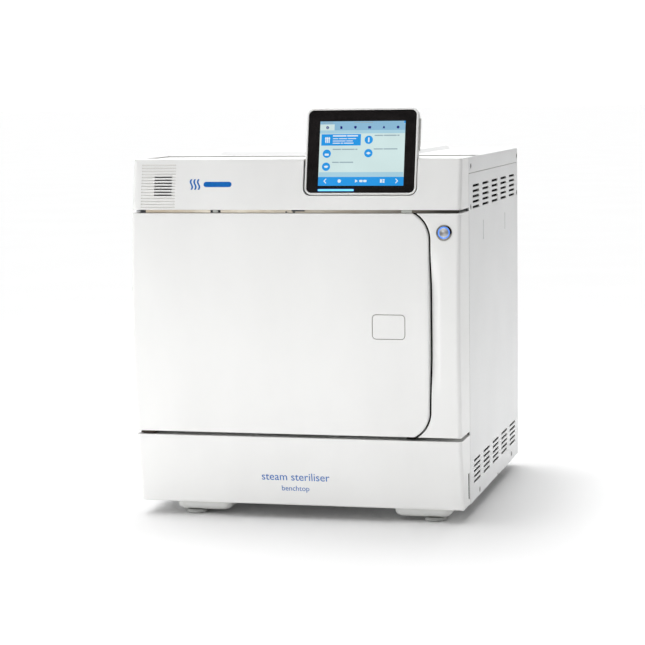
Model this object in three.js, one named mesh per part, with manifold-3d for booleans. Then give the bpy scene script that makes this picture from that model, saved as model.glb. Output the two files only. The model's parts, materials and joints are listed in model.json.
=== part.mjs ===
// A benchtop steam steriliser (autoclave): a sheet-metal cabinet with a moulded front, a hinged door
// over a round pressure chamber, a touch display let into the hood, and the steam, vacuum, water and
// electrical parts inside.
//
// Millimetres, +Z up, the door faces -Y. Inside the machine group every y is a depth behind the
// foremost line of the door; the group is moved forward by half the depth at the end, so that the
// origin is the middle of the footprint, on the surface that the feet stand on.

import * as THREE from "three";
import { mergeVertices } from "three/addons/utils/BufferGeometryUtils.js";
import Module from "manifold-3d";

// ---------------------------------------------------------------- driving dimensions

const WIDTH = 450; // across the side panels
const DEPTH = 534; // foremost line of the door to the tip of the hose couplings
const BODY_LOW = 18; // underside of the base
const BODY_HIGH = 485; // top of the hood and of the lid's edge
const BODY_BACK = 495; // rear face of the cabinet
const SEAM_DEPTH = 72.5; // where the moulded front meets the sheet metal

const FRONT_RADIUS = 1029; // the front bulges as a shallow barrel when seen from the side
const FRONT_CREST_Z = 260; // height of its foremost line

const SHEET = 2; // sheet-metal thickness
const WALL = 3; // moulded wall thickness
const TOUCH = 0.3; // gap between pieces that touch
const SEAM = 1; // open joint between covers
const FIT = 0.5; // play round a sheet that fits inside another
const PAST = 1; // how far a cutter runs past the faces it cuts

const HALF = WIDTH / 2;
const INSIDE = HALF - SHEET - FIT; // half width that fits between the side panels

const PANEL_HIGH = 113.5; // top of the lower front panel
const DOOR_LOW = 118.2;
const DOOR_HIGH = 414;
const HOOD_LOW = 418.3;
const DOOR_RIGHT = 183;
const DOOR_CORNER = 40; // radius of the arcs at the door's two right-hand corners
const DOOR_CORNER_HEIGHT = 35.6; // each arc ends in a blunt angle, this far above its start
const DOOR_BOW = 1.6; // how far the door's right edge bows out at mid-height
const DOOR_GAP = 2.3; // shadow gap between door and column
const DOOR_SKIRT = 42; // depth of the door's edges
const DOOR_LEFT_SKIRT = 70; // depth of the door's outer side, which hides the hinges

const HINGE = { x: -210, y: 24 }; // vertical door axis
const PIN_RADIUS = 4;

const CHAMBER = { x: -20, z: 266 };
const CHAMBER_RADIUS = 125;
const CHAMBER_WALL = 3;
const FLANGE_RADIUS = 150;
const FLANGE_FACE = 70; // depth of the sealing face
const BULKHEAD_FRONT = 78;

const LEAN = THREE.MathUtils.degToRad(12.6); // how far the display leans back
const GLASS = { width: 145.3, height: 110.5, corner: 7, thick: 1.4 };
const DISPLAY = { x: 89.2, y: 18, z: 440.8 }; // middle of the glass's lower front edge
const DISPLAY_RIM = 3; // housing showing round the glass
const DISPLAY_DEPTH = 13; // white front housing
const CRADLE_GAP = 1.2; // round the display in the hood

const BUTTON = { x: 203.3, z: 389, hole: 9.2 };
const PUSH_PAD = { x: [108.5, 151.8], z: [249.5, 281.3], corner: 5, thick: 5, gap: 0.7 };
const LOCK = { y: 30, z: 266, radius: 5 };
const SCOOP = { x: 184.5, y: -1, z: 272, across: 17, deep: 19, tall: 109 };
const SWITCH = { y: 58, z: 45.5, width: 13, height: 35 };
const FAN = { x: -30, y: 465, z: 75, size: 92, thick: 25 };
const MAINS = { x: 165, z: 60, width: 33, height: 23 }; // opening for the appliance inlet
const DATA = { x: 165, z: 112, width: 17, height: 15 }; // opening for the data port

// ---------------------------------------------------------------- finishes

const MOULDED_WHITE = { color: 0xe9eae9, roughness: 0.42, metalness: 0 };
const PAINTED_SHEET = { color: 0xe2e3e3, roughness: 0.5, metalness: 0.1 };
const GREY_PLASTIC = { color: 0xc9cbca, roughness: 0.6, metalness: 0 };
const DARK_PLASTIC = { color: 0x1d1e20, roughness: 0.5, metalness: 0 };
const BLACK_GLASS = { color: 0x0a0b0d, roughness: 0.08, metalness: 0 };
const LIGHT_GUIDE = { color: 0x9fe6ff, roughness: 0.3, metalness: 0 };
const CHROME = { color: 0xd8dadd, roughness: 0.12, metalness: 1 };
const BRUSHED_STEEL = { color: 0xb9bcbe, roughness: 0.32, metalness: 1 };
const ALUMINIUM = { color: 0xc6c9cc, roughness: 0.4, metalness: 1 };
const BRASS = { color: 0xb89650, roughness: 0.3, metalness: 1 };
const SILICONE = { color: 0xc9c3b6, roughness: 0.8, metalness: 0 };
const RUBBER = { color: 0x76787a, roughness: 0.85, metalness: 0 };
const CIRCUIT_GREEN = { color: 0x1f5a38, roughness: 0.5, metalness: 0 };

// ---------------------------------------------------------------- solid tools

const wasm = await Module();
wasm.setup();

function toSolid(geometry) {
  const bare = geometry.index ? geometry.toNonIndexed() : geometry.clone();
  bare.deleteAttribute("normal");
  bare.deleteAttribute("uv");
  const merged = mergeVertices(bare);
  return new wasm.Manifold(
    new wasm.Mesh({
      numProp: 3,
      vertProperties: merged.attributes.position.array,
      triVerts: new Uint32Array(merged.index.array),
    }),
  );
}

function toGeometry(solid) {
  const mesh = solid.getMesh();
  const geometry = new THREE.BufferGeometry();
  geometry.setAttribute("position", new THREE.BufferAttribute(mesh.vertProperties, 3));
  geometry.setIndex(new THREE.BufferAttribute(mesh.triVerts, 1));
  return geometry;
}

const fold = (pieces, step) => toGeometry(pieces.map(toSolid).reduce(step));
const join = (...pieces) => fold(pieces, (a, b) => a.add(b));
const cut = (...pieces) => fold(pieces, (a, b) => a.subtract(b));
const common = (...pieces) => fold(pieces, (a, b) => a.intersect(b));

// ---------------------------------------------------------------- shape tools

const X = new THREE.Vector3(1, 0, 0);
const Y = new THREE.Vector3(0, 1, 0);
const Z = new THREE.Vector3(0, 0, 1);
const FRONT_VIEW = new THREE.Matrix4().makeBasis(X, Z, Y.clone().negate()); // outline in x, z
const SIDE_VIEW = new THREE.Matrix4().makeBasis(Y, Z, X); // outline in y, z

const middle = (span) => (span[0] + span[1]) / 2;
const length = (span) => span[1] - span[0];
const around = (centre, size) => [centre - size / 2, centre + size / 2];
const past = (span) => [span[0] - PAST, span[1] + PAST];
const rising = (a, b) => [Math.min(a, b), Math.max(a, b)];

function block(x, y, z) {
  const box = new THREE.BoxGeometry(length(x), length(y), length(z));
  return box.translate(middle(x), middle(y), middle(z));
}

// A block whose top face is smaller than its base by inset on each of its four sides.
function taperedBlock(x, y, z, inset) {
  const box = new THREE.BoxGeometry(length(x), length(y), length(z));
  const place = box.attributes.position;
  for (let i = 0; i < place.count; i++) {
    if (place.getZ(i) > 0) {
      place.setX(i, place.getX(i) - Math.sign(place.getX(i)) * inset);
      place.setY(i, place.getY(i) - Math.sign(place.getY(i)) * inset);
    }
  }
  return box.translate(middle(x), middle(y), middle(z));
}

// A round bar along an axis; centre holds its two other coordinates in x, y, z order.
function rod(axis, span, centre, radius, sides = 20) {
  const bar = new THREE.CylinderGeometry(radius, radius, length(span), sides);
  const [a, b] = centre;
  if (axis === "x") return bar.rotateZ(Math.PI / 2).translate(middle(span), a, b);
  if (axis === "y") return bar.translate(a, middle(span), b);
  return bar.rotateX(Math.PI / 2).translate(a, b, middle(span));
}

// A turned piece: profile holds [radius, position along the axis] and runs anticlockwise.
function turned(axis, profile, centre, segments = 32) {
  const points = profile.map(([radius, along]) => new THREE.Vector2(radius, along));
  const body = new THREE.LatheGeometry(points, segments);
  const [a, b] = centre;
  if (axis === "y") return body.translate(a, 0, b);
  return body.rotateX(Math.PI / 2).translate(a, b, 0);
}

function roundedRect(across, up, corner) {
  const [left, right] = across;
  const [low, high] = up;
  const outline = new THREE.Shape();
  outline.absarc(right - corner, low + corner, corner, -Math.PI / 2, 0);
  outline.absarc(right - corner, high - corner, corner, 0, Math.PI / 2);
  outline.absarc(left + corner, high - corner, corner, Math.PI / 2, Math.PI);
  outline.absarc(left + corner, low + corner, corner, Math.PI, 1.5 * Math.PI);
  return outline;
}

// A round corner gets twice curveSegments facets.
function extrude(outline, depth, curveSegments) {
  return new THREE.ExtrudeGeometry(outline, { depth, bevelEnabled: false, curveSegments });
}

// An outline drawn in x and z, filled from one depth to another.
function extrudeBack(outline, y, curveSegments = 3) {
  return extrude(outline, length(y), curveSegments).applyMatrix4(FRONT_VIEW).translate(0, y[1], 0);
}

// An outline drawn in y and z, filled across the machine.
function extrudeAcross(outline, x, curveSegments = 3) {
  return extrude(outline, length(x), curveSegments).applyMatrix4(SIDE_VIEW).translate(x[0], 0, 0);
}

// A round tube of outer radius along a smooth route.
function pipe(route, radius, steps) {
  const section = new THREE.Shape();
  section.absarc(0, 0, radius, 0, 2 * Math.PI);
  const extrudePath = new THREE.CatmullRomCurve3(route.map((p) => new THREE.Vector3(...p)));
  return new THREE.ExtrudeGeometry(section, { steps, extrudePath, curveSegments: 4 });
}

// Depth of the barrelled front at a height.
function frontDepth(z) {
  return FRONT_RADIUS - Math.sqrt(FRONT_RADIUS ** 2 - (z - FRONT_CREST_Z) ** 2);
}

// How far the front leans back at a height.
function frontLean(z) {
  return Math.asin((z - FRONT_CREST_Z) / FRONT_RADIUS);
}

// The solid between the barrelled front, set back by inset, and a flat back.
function barrel(x, z, back, inset = 0) {
  const radius = FRONT_RADIUS - inset;
  const angleAt = (height) => Math.PI - Math.asin((height - FRONT_CREST_Z) / radius);
  const outline = new THREE.Shape();
  outline.moveTo(back, z[0]);
  outline.lineTo(back, z[1]);
  outline.absarc(FRONT_RADIUS, FRONT_CREST_Z, radius, angleAt(z[1]), angleAt(z[0]));
  const facetHeight = 52;
  return extrudeAcross(outline, x, Math.max(2, Math.round(length(z) / facetHeight)));
}

// ---------------------------------------------------------------- the machine

const machine = new THREE.Group();
machine.position.y = -DEPTH / 2;

const display = new THREE.Group(); // x across, y into the display, z up its slope
display.position.set(DISPLAY.x, DISPLAY.y, DISPLAY.z);
display.rotation.x = -LEAN;
machine.add(display);

const powerButton = new THREE.Group(); // y runs into the front, square to its surface
powerButton.position.set(BUTTON.x, frontDepth(BUTTON.z), BUTTON.z);
powerButton.rotation.x = -frontLean(BUTTON.z);
machine.add(powerButton);

function add(name, geometry, finish, parent = machine) {
  const mesh = new THREE.Mesh(geometry, new THREE.MeshStandardMaterial(finish));
  mesh.name = name;
  parent.add(mesh);
}

// ---------------------------------------------------------------- sheet-metal cabinet

const SLOT_ROWS = 5;
const SLOT_COLUMNS = 5;
const SLOT = { length: 51, height: 3.2, firstY: 128.5, pitchY: 77.6, pitchZ: 7.15 };

// A field of ventilation slots through a side panel, down from the top row.
function sideSlots(x, topRow) {
  const slots = [];
  for (let row = 0; row < SLOT_ROWS; row++) {
    for (let column = 0; column < SLOT_COLUMNS; column++) {
      const y = SLOT.firstY + column * SLOT.pitchY;
      const z = topRow - row * SLOT.pitchZ;
      slots.push(block(x, around(y, SLOT.length), around(z, SLOT.height)));
    }
  }
  return slots;
}

const UPPER_SLOTS_TOP = 445.5;
const LOWER_SLOTS_TOP = 72.5;
const LID_FLANGE_LOW = 463.7;
const SHEET_FRONT = SEAM_DEPTH + SEAM;

function sidePanel(x) {
  const sheet = block(x, [SHEET_FRONT, BODY_BACK], [BODY_LOW + TOUCH, LID_FLANGE_LOW - FIT]);
  const tops = [UPPER_SLOTS_TOP, LOWER_SLOTS_TOP];
  return cut(sheet, ...tops.flatMap((top) => sideSlots(past(x), top)));
}

function baseTray() {
  const rim = 15;
  const y = [SHEET_FRONT, BODY_BACK - SHEET - FIT];
  const outer = block([-INSIDE, INSIDE], y, [BODY_LOW, BODY_LOW + rim]);
  const hollow = block(
    [-INSIDE + SHEET, INSIDE - SHEET],
    [y[0] - PAST, y[1] - SHEET],
    [BODY_LOW + SHEET, BODY_LOW + rim + PAST],
  );
  return cut(outer, hollow);
}

const HOOD_TOP_BACK = 169.5; // the hood's top plate ends here and the lid begins

// The lid: a top sheet with a raised field and flanges folded down at both sides and the rear.
function lid() {
  const rise = 5.5;
  const field = { x: [-162, 128], y: [186, 480] };
  const slope = 6;
  const topSheet = [BODY_HIGH - SHEET, BODY_HIGH];
  const flange = [LID_FLANGE_LOW, BODY_HIGH];
  const sheet = join(
    block([-HALF, HALF], [HOOD_TOP_BACK + SEAM, BODY_BACK], topSheet),
    block([-HALF, -HALF + SHEET], [SHEET_FRONT, BODY_BACK], flange),
    block([HALF - SHEET, HALF], [SHEET_FRONT, BODY_BACK], flange),
    block([-HALF, HALF], [BODY_BACK - SHEET, BODY_BACK], flange),
    taperedBlock(field.x, field.y, [BODY_HIGH - SHEET / 4, BODY_HIGH + rise], slope),
  );
  const inner = [field.x, field.y].map(([low, high]) => [low + slope, high - slope]);
  return cut(sheet, block(...inner, [BODY_HIGH - SHEET - PAST, BODY_HIGH + rise - SHEET]));
}

const SAFETY_VALVE = { x: -60, z: 432 };
const DRAIN = { x: -160, z: 52 };
const FEED = { x: -120, z: 52 };
const PORT_HOLE_RADIUS = 9.8;
const FAN_GRILLE = { radius: 42, pitch: 8, slot: 4.5, rowsEachSide: 5 };

// Slots whose lengths follow a circle in front of the fan.
function fanSlots(y) {
  const { radius, pitch, slot, rowsEachSide } = FAN_GRILLE;
  const slots = [];
  for (let row = -rowsEachSide; row <= rowsEachSide; row++) {
    const offset = row * pitch;
    const halfChord = Math.sqrt(radius ** 2 - (0.95 * offset) ** 2);
    slots.push(block(around(FAN.x, 2 * halfChord), y, around(FAN.z + offset, slot)));
  }
  return slots;
}

function rearPanel() {
  const y = [BODY_BACK - SHEET, BODY_BACK];
  const through = past(y);
  const sheet = block([-INSIDE, INSIDE], y, [BODY_LOW + SHEET + FIT, LID_FLANGE_LOW - FIT]);
  const ports = [SAFETY_VALVE, DRAIN, FEED].map(({ x, z }) =>
    rod("y", through, [x, z], PORT_HOLE_RADIUS, 14),
  );
  const sockets = [MAINS, DATA].map(({ x, z, width, height }) =>
    block(around(x, width), through, around(z, height)),
  );
  return cut(sheet, ...fanSlots(through), ...ports, ...sockets);
}

// The plate behind the door that carries the chamber and the hinges.
function bulkhead() {
  const y = [BULKHEAD_FRONT, BULKHEAD_FRONT + SHEET];
  const half = INSIDE - SHEET - FIT;
  const plate = block([-half, half], y, [BODY_LOW + SHEET + FIT, BODY_HIGH - WALL - SEAM]);
  const mouthRadius = FLANGE_RADIUS + 1.5;
  const mouth = rod("y", past(y), [CHAMBER.x, CHAMBER.z], mouthRadius, 48);
  return cut(plate, mouth);
}

add("base_tray", baseTray(), PAINTED_SHEET);
add("side_panel_left", sidePanel([-HALF, -HALF + SHEET]), PAINTED_SHEET);
add("side_panel_right", sidePanel([HALF - SHEET, HALF]), PAINTED_SHEET);
add("lid", lid(), PAINTED_SHEET);
add("rear_panel", rearPanel(), PAINTED_SHEET);
add("bulkhead", bulkhead(), PAINTED_SHEET);

// ---------------------------------------------------------------- moulded front

const GRILLE = { x: [-212.4, -164.5], top: 477.5, pitch: 3.98, count: 15, groove: 1.6, deep: 0.9 };
const VENTS = { x: [-194.5, -169.5], first: 4, last: 10, height: 1.8 }; // rows cut right through

// Shallow grooves in the hood's upper left corner, the middle rows of them cut through as vents.
function grilleCuts() {
  const cuts = [];
  for (let row = 0; row < GRILLE.count; row++) {
    const z = GRILLE.top - row * GRILLE.pitch;
    const surface = frontDepth(z);
    const groove = [surface - PAST, surface + GRILLE.deep];
    cuts.push(block(GRILLE.x, groove, around(z, GRILLE.groove)));
    if (row >= VENTS.first && row <= VENTS.last) {
      const through = [surface - PAST, surface + 2 * WALL];
      cuts.push(block(VENTS.x, through, around(z, VENTS.height)));
    }
  }
  return cuts;
}

// The opening that the display stands in, square to the leaning display.
function cradleCut() {
  const half = GLASS.width / 2 + DISPLAY_RIM + CRADLE_GAP;
  const low = -DISPLAY_RIM - CRADLE_GAP;
  const outline = roundedRect([-half, half], [low, GLASS.height], GLASS.corner + DISPLAY_RIM);
  const inFront = -25;
  const behind = DISPLAY_DEPTH + 14; // room for the rear shell
  const opening = extrudeBack(outline, [inFront, behind]);
  return opening.rotateX(-LEAN).translate(DISPLAY.x, DISPLAY.y, DISPLAY.z);
}

// The space inside a moulded cover, open at the back.
function coverHollow([left, right], [low, high]) {
  const x = [left + WALL, right - WALL];
  return barrel(x, [low + WALL, high - WALL], SEAM_DEPTH + PAST, WALL);
}

function hood() {
  const x = [-HALF, HALF];
  const z = [HOOD_LOW, BODY_HIGH];
  const shell = cut(barrel(x, z, SEAM_DEPTH), coverHollow(x, z));
  const topPlate = block(
    [-INSIDE, INSIDE],
    [SEAM_DEPTH - 1, HOOD_TOP_BACK],
    [BODY_HIGH - WALL, BODY_HIGH],
  );
  return cut(join(shell, topPlate), cradleCut(), ...grilleCuts());
}

// The door seen from the front: square at the hinge side. Its right-hand corners are arcs that meet
// the top and bottom edges in a blunt angle.
function doorOutline(grow) {
  const left = -HALF - grow;
  const right = DOOR_RIGHT + grow;
  const radius = DOOR_CORNER + grow;
  const sweep = Math.asin((DOOR_CORNER_HEIGHT + grow) / radius);
  const arcX = DOOR_RIGHT - DOOR_CORNER;
  const arcLow = DOOR_LOW + DOOR_CORNER_HEIGHT;
  const arcHigh = DOOR_HIGH - DOOR_CORNER_HEIGHT;
  const outline = new THREE.Shape();
  outline.moveTo(left, DOOR_HIGH + grow);
  outline.lineTo(left, DOOR_LOW - grow);
  outline.absarc(arcX, arcLow, radius, -sweep, 0);
  outline.quadraticCurveTo(right + 2 * DOOR_BOW, middle([arcLow, arcHigh]), right, arcHigh);
  outline.absarc(arcX, arcHigh, radius, 0, sweep);
  return outline;
}

const PAST_DOOR = [DOOR_LOW - 18, DOOR_HIGH + 16]; // for tools that cut from top to bottom

function scoopSolid(grow) {
  const ball = new THREE.SphereGeometry(1, 20, 14);
  ball.scale(SCOOP.across + grow, SCOOP.deep + grow, SCOOP.tall + grow);
  return ball.translate(SCOOP.x, SCOOP.y, SCOOP.z);
}

// The strip right of the door, with a finger scoop beside the door's edge.
function frontColumn() {
  const z = [DOOR_LOW, DOOR_HIGH];
  const left = 150; // under the door's corner arcs
  const gapRight = DOOR_RIGHT + DOOR_GAP;
  const wallByDoor = 5 - WALL; // the wall beside the door is this much thicker
  const doorway = extrudeBack(doorOutline(DOOR_GAP), [-PAST, SEAM_DEPTH + PAST], 4);
  const outer = cut(barrel([left, HALF], z, SEAM_DEPTH), doorway);
  const hollow = coverHollow([gapRight + wallByDoor, HALF], z);
  const behindCorners = block([left - PAST, gapRight], [DOOR_SKIRT, SEAM_DEPTH + PAST], PAST_DOOR);
  const shell = join(cut(outer, hollow), common(outer, scoopSolid(WALL)));
  const boltHole = rod("x", around(gapRight, 20), [LOCK.y, LOCK.z], LOCK.radius + 0.6);
  const buttonHole = rod("y", [-20, 20], [0, 0], BUTTON.hole, 24)
    .rotateX(-frontLean(BUTTON.z))
    .translate(BUTTON.x, frontDepth(BUTTON.z), BUTTON.z);
  return cut(shell, scoopSolid(0), behindCorners, boltHole, buttonHole);
}

function lowerFrontPanel() {
  const x = [-HALF, HALF];
  const z = [BODY_LOW + TOUCH, PANEL_HIGH];
  const switchHole = block(
    past([HALF - WALL, HALF]),
    around(SWITCH.y, SWITCH.width),
    around(SWITCH.z, SWITCH.height),
  );
  return cut(barrel(x, z, SEAM_DEPTH), coverHollow(x, z), switchHole);
}

add("hood", hood(), MOULDED_WHITE);
add("front_column", frontColumn(), MOULDED_WHITE);
add("lower_front_panel", lowerFrontPanel(), MOULDED_WHITE);

// ---------------------------------------------------------------- feet

const FOOT_BLOCK = { y: [38, 94], z: [5.6, BODY_LOW - TOUCH], taper: 5 };
const FRONT_FOOT_Y = 52;
const STEM = { radius: 4, top: 16 };
const PUCK = { radius: 14, thick: 5.2 };
const FEET = [
  { side: "left", block: [-178, -101], puck: -152.5 },
  { side: "right", block: [127, 204], puck: 181 },
];
const REAR_FEET = [
  { side: "left", x: -165 },
  { side: "right", x: 165 },
];
const REAR_FOOT = { y: 440, low: 13.5, high: 16 }; // radii on the bench and under the base

// A moulded block, narrower below, bored for the screw of the levelling foot.
function footBlock(x, puck) {
  const upsideDown = taperedBlock(x, FOOT_BLOCK.y, around(0, length(FOOT_BLOCK.z)), FOOT_BLOCK.taper);
  upsideDown.rotateY(Math.PI).translate(2 * middle(x), 0, middle(FOOT_BLOCK.z));
  const bore = rod("z", past(FOOT_BLOCK.z), [puck, FRONT_FOOT_Y], STEM.radius + 0.4);
  return cut(upsideDown, bore);
}

function levellingFoot(x) {
  const profile = [
    [0, 0],
    [PUCK.radius - 1, 0],
    [PUCK.radius, 1],
    [PUCK.radius, PUCK.thick],
    [STEM.radius, PUCK.thick],
    [STEM.radius, STEM.top],
    [0, STEM.top],
  ];
  return turned("z", profile, [x, FRONT_FOOT_Y], 20);
}

for (const foot of FEET) {
  add(`foot_block_${foot.side}`, footBlock(foot.block, foot.puck), GREY_PLASTIC);
  add(`levelling_foot_${foot.side}`, levellingFoot(foot.puck), RUBBER);
}
for (const foot of REAR_FEET) {
  const height = BODY_LOW - TOUCH;
  const rubber = new THREE.CylinderGeometry(REAR_FOOT.high, REAR_FOOT.low, height, 24);
  rubber.rotateX(Math.PI / 2).translate(foot.x, REAR_FOOT.y, height / 2);
  add(`rear_foot_${foot.side}`, rubber, RUBBER);
}

// ---------------------------------------------------------------- door and its hinges

const BRACKET = { x: [-219, -199], y: [14, BULKHEAD_FRONT - FIT], thick: 2.6, tall: 32, pin: 18 };

// An angle bracket screwed to the bulkhead, with the pivot pin fixed in its arm. into is +1 when the
// pin points up and -1 when it points down.
function hingeBracket(armZ, into) {
  const { x, y, thick, tall } = BRACKET;
  const arm = block(x, y, around(armZ, thick));
  const footZ = rising(armZ - thick / 2, armZ + into * tall);
  const foot = block(x, [y[1] - thick, y[1]], footZ);
  const pinZ = rising(armZ, armZ + into * BRACKET.pin);
  return join(arm, foot, rod("z", pinZ, [HINGE.x, HINGE.y], PIN_RADIUS, 16));
}

// The door filled solid back to a depth, its outline grown and its front set back.
function doorSolid(grow, inset, back) {
  const z = [DOOR_LOW - grow, DOOR_HIGH + grow];
  const slab = barrel([-HALF - grow, HALF], z, back, inset);
  return common(slab, extrudeBack(doorOutline(grow), [-PAST, back + PAST], 4));
}

function padOutline(grow) {
  const [left, right] = PUSH_PAD.x;
  const [low, high] = PUSH_PAD.z;
  return roundedRect([left - grow, right + grow], [low - grow, high + grow], PUSH_PAD.corner + grow);
}

function doorShell() {
  const skirts = cut(doorSolid(0, 0, DOOR_SKIRT), doorSolid(-WALL, WALL, DOOR_SKIRT + PAST));
  const leftSide = block(
    [-HALF, -HALF + WALL],
    [DOOR_SKIRT - 1, DOOR_LEFT_SKIRT],
    [DOOR_LOW, DOOR_HIGH],
  );
  const pinHoles = rod("z", PAST_DOOR, [HINGE.x, HINGE.y], PIN_RADIUS + 0.5, 16);
  const boltHole = rod("x", around(DOOR_RIGHT, 30), [LOCK.y, LOCK.z], LOCK.radius + 1.2);
  const padHole = extrudeBack(padOutline(PUSH_PAD.gap), [-5, 15]);
  return cut(join(skirts, leftSide), pinHoles, boltHole, padHole);
}

function doorLiner() {
  const y = [DOOR_SKIRT - 2.6, DOOR_SKIRT - TOUCH];
  const plate = extrudeBack(doorOutline(-WALL - TOUCH), y, 4);
  const spindleClearance = 24;
  return cut(plate, rod("y", past(y), [CHAMBER.x, CHAMBER.z], spindleClearance, 28));
}

const BEAM = { x: [-204, 176], y: [24, 36], tall: 40 };
const SPINDLE = { y: [12, 58], collar: 16, neck: 10, shoulder: 22 };

// The steel beam in the door that carries the pressure plate, bored for the lock bolt at its free end.
function doorBeam() {
  const bar = block(BEAM.x, BEAM.y, around(CHAMBER.z, BEAM.tall));
  const spindleHole = rod("y", past(BEAM.y), [CHAMBER.x, CHAMBER.z], SPINDLE.neck + 0.4);
  const boltX = [BEAM.x[1] - 16, BEAM.x[1] + PAST];
  const boltHole = rod("x", boltX, [LOCK.y, LOCK.z], LOCK.radius + 0.6, 16);
  return cut(bar, spindleHole, boltHole);
}

// The spindle passes through the beam, with a nut collar in front and a wide shoulder behind.
const SPINDLE_PROFILE = [
  [0, SPINDLE.y[0]],
  [SPINDLE.collar, SPINDLE.y[0]],
  [SPINDLE.collar, BEAM.y[0] - TOUCH],
  [SPINDLE.neck, BEAM.y[0] - TOUCH],
  [SPINDLE.neck, BEAM.y[1] + TOUCH],
  [SPINDLE.shoulder, BEAM.y[1] + TOUCH],
  [SPINDLE.shoulder, SPINDLE.y[1]],
  [0, SPINDLE.y[1]],
];

const PRESSURE_PLATE_PROFILE = [
  [0, 58.3],
  [60, 58.3],
  [70, 60.3],
  [145, 60.3],
  [145, 64.3],
  [66, 64.3],
  [56, 62.3],
  [0, 62.3],
];

const GASKET_PROFILE = [
  [129, 66],
  [130.5, 64.6],
  [138.5, 64.6],
  [140, 66],
  [137, 69.7],
  [132, 69.7],
  [129, 66],
];

function pushPad() {
  const front = barrel(PUSH_PAD.x, PUSH_PAD.z, PUSH_PAD.thick);
  return common(front, extrudeBack(padOutline(0), [-5, 10]));
}

const chamberAxis = [CHAMBER.x, CHAMBER.z];
add("hinge_bracket_upper", hingeBracket(DOOR_HIGH + 2.2, -1), BRUSHED_STEEL);
add("hinge_bracket_lower", hingeBracket(DOOR_LOW - 2.3, 1), BRUSHED_STEEL);
add("door_shell", doorShell(), MOULDED_WHITE);
add("door_liner", doorLiner(), MOULDED_WHITE);
add("door_beam", doorBeam(), BRUSHED_STEEL);
add("pressure_spindle", turned("y", SPINDLE_PROFILE, chamberAxis, 20), BRUSHED_STEEL);
add("pressure_plate", turned("y", PRESSURE_PLATE_PROFILE, chamberAxis, 32), BRUSHED_STEEL);
add("door_gasket", turned("y", GASKET_PROFILE, chamberAxis, 32), SILICONE);
add("door_push_pad", pushPad(), MOULDED_WHITE);

// ---------------------------------------------------------------- door lock

const BOLT_SPAN = [188.5, 216];
const LOCK_HOUSING = { x: [193, 219], y: [24, 62], tall: 44 };

function lockHousing() {
  const body = block(LOCK_HOUSING.x, LOCK_HOUSING.y, around(LOCK.z, LOCK_HOUSING.tall));
  const bore = [LOCK_HOUSING.x[0] - PAST, BOLT_SPAN[1] + 1.5]; // closed behind the bolt
  return cut(body, rod("x", bore, [LOCK.y, LOCK.z], LOCK.radius + 0.4, 16));
}

add("lock_housing", lockHousing(), DARK_PLASTIC);
add("lock_bolt", rod("x", BOLT_SPAN, [LOCK.y, LOCK.z], LOCK.radius, 16), BRUSHED_STEEL);

// ---------------------------------------------------------------- pressure chamber and load

const CHAMBER_PROFILE = [
  [CHAMBER_RADIUS, FLANGE_FACE],
  [FLANGE_RADIUS, FLANGE_FACE],
  [FLANGE_RADIUS, FLANGE_FACE + 14],
  [CHAMBER_RADIUS + CHAMBER_WALL, FLANGE_FACE + 14],
  [CHAMBER_RADIUS + CHAMBER_WALL, 417],
  [104, 434],
  [54, 441],
  [0, 443],
  [0, 439],
  [52, 437],
  [101, 430.5],
  [CHAMBER_RADIUS, 415],
  [CHAMBER_RADIUS, FLANGE_FACE],
];

const INSULATION_PROFILE = [
  [CHAMBER_RADIUS + CHAMBER_WALL + 0.8, 92],
  [142, 92],
  [142, 414],
  [CHAMBER_RADIUS + CHAMBER_WALL + 0.8, 414],
  [CHAMBER_RADIUS + CHAMBER_WALL + 0.8, 92],
];

const TRAY = { half: 92, y: [100, 396], rim: 14, sheet: 1.5 };
const TRAYS = [
  { name: "tray_lower", floor: -58 },
  { name: "tray_middle", floor: -10 },
  { name: "tray_upper", floor: 38 },
];

function tray(floor) {
  const z = CHAMBER.z + floor;
  const x = [CHAMBER.x - TRAY.half, CHAMBER.x + TRAY.half];
  const outer = block(x, TRAY.y, [z, z + TRAY.rim]);
  const hollow = block(
    [x[0] + TRAY.sheet, x[1] - TRAY.sheet],
    [TRAY.y[0] + TRAY.sheet, TRAY.y[1] - TRAY.sheet],
    [z + TRAY.sheet, z + TRAY.rim + PAST],
  );
  return cut(outer, hollow);
}

const RACK = { y: [96, 402], half: 98.5, z: [CHAMBER.z - 72, CHAMBER.z + 68], ledge: 14 };

// Two side sheets with a ledge under each tray, tied together across the back.
function trayRack() {
  const { y, z, half } = RACK;
  const sheet = 2;
  const pieces = [];
  for (const side of [-1, 1]) {
    const outer = CHAMBER.x + side * half;
    const inner = outer - side * sheet;
    const ledge = outer - side * RACK.ledge;
    pieces.push(block(rising(outer, inner), y, z));
    for (const { floor } of TRAYS) {
      const top = CHAMBER.z + floor - TOUCH;
      pieces.push(block(rising(outer, ledge), y, [top - sheet, top]));
    }
  }
  const tieX = around(CHAMBER.x, 2 * half);
  const tieY = [y[1] - sheet, y[1]];
  const lowerTie = block(tieX, tieY, [z[0], z[0] + 10]);
  const upperTie = block(tieX, tieY, [z[1] - 8, z[1]]);
  return join(...pieces, lowerTie, upperTie);
}

add("chamber_vessel", turned("y", CHAMBER_PROFILE, chamberAxis, 36), BRUSHED_STEEL);
add("chamber_insulation", turned("y", INSULATION_PROFILE, chamberAxis, 36), GREY_PLASTIC);
add("tray_rack", trayRack(), BRUSHED_STEEL);
for (const { name, floor } of TRAYS) {
  add(name, tray(floor), ALUMINIUM);
}

// ---------------------------------------------------------------- steam, water and vacuum

const GENERATOR = { x: 172, y: 330 };

const GENERATOR_PROFILE = [
  [0, 150],
  [30, 152],
  [40, 162],
  [40, 388],
  [30, 398],
  [0, 400],
];

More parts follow.
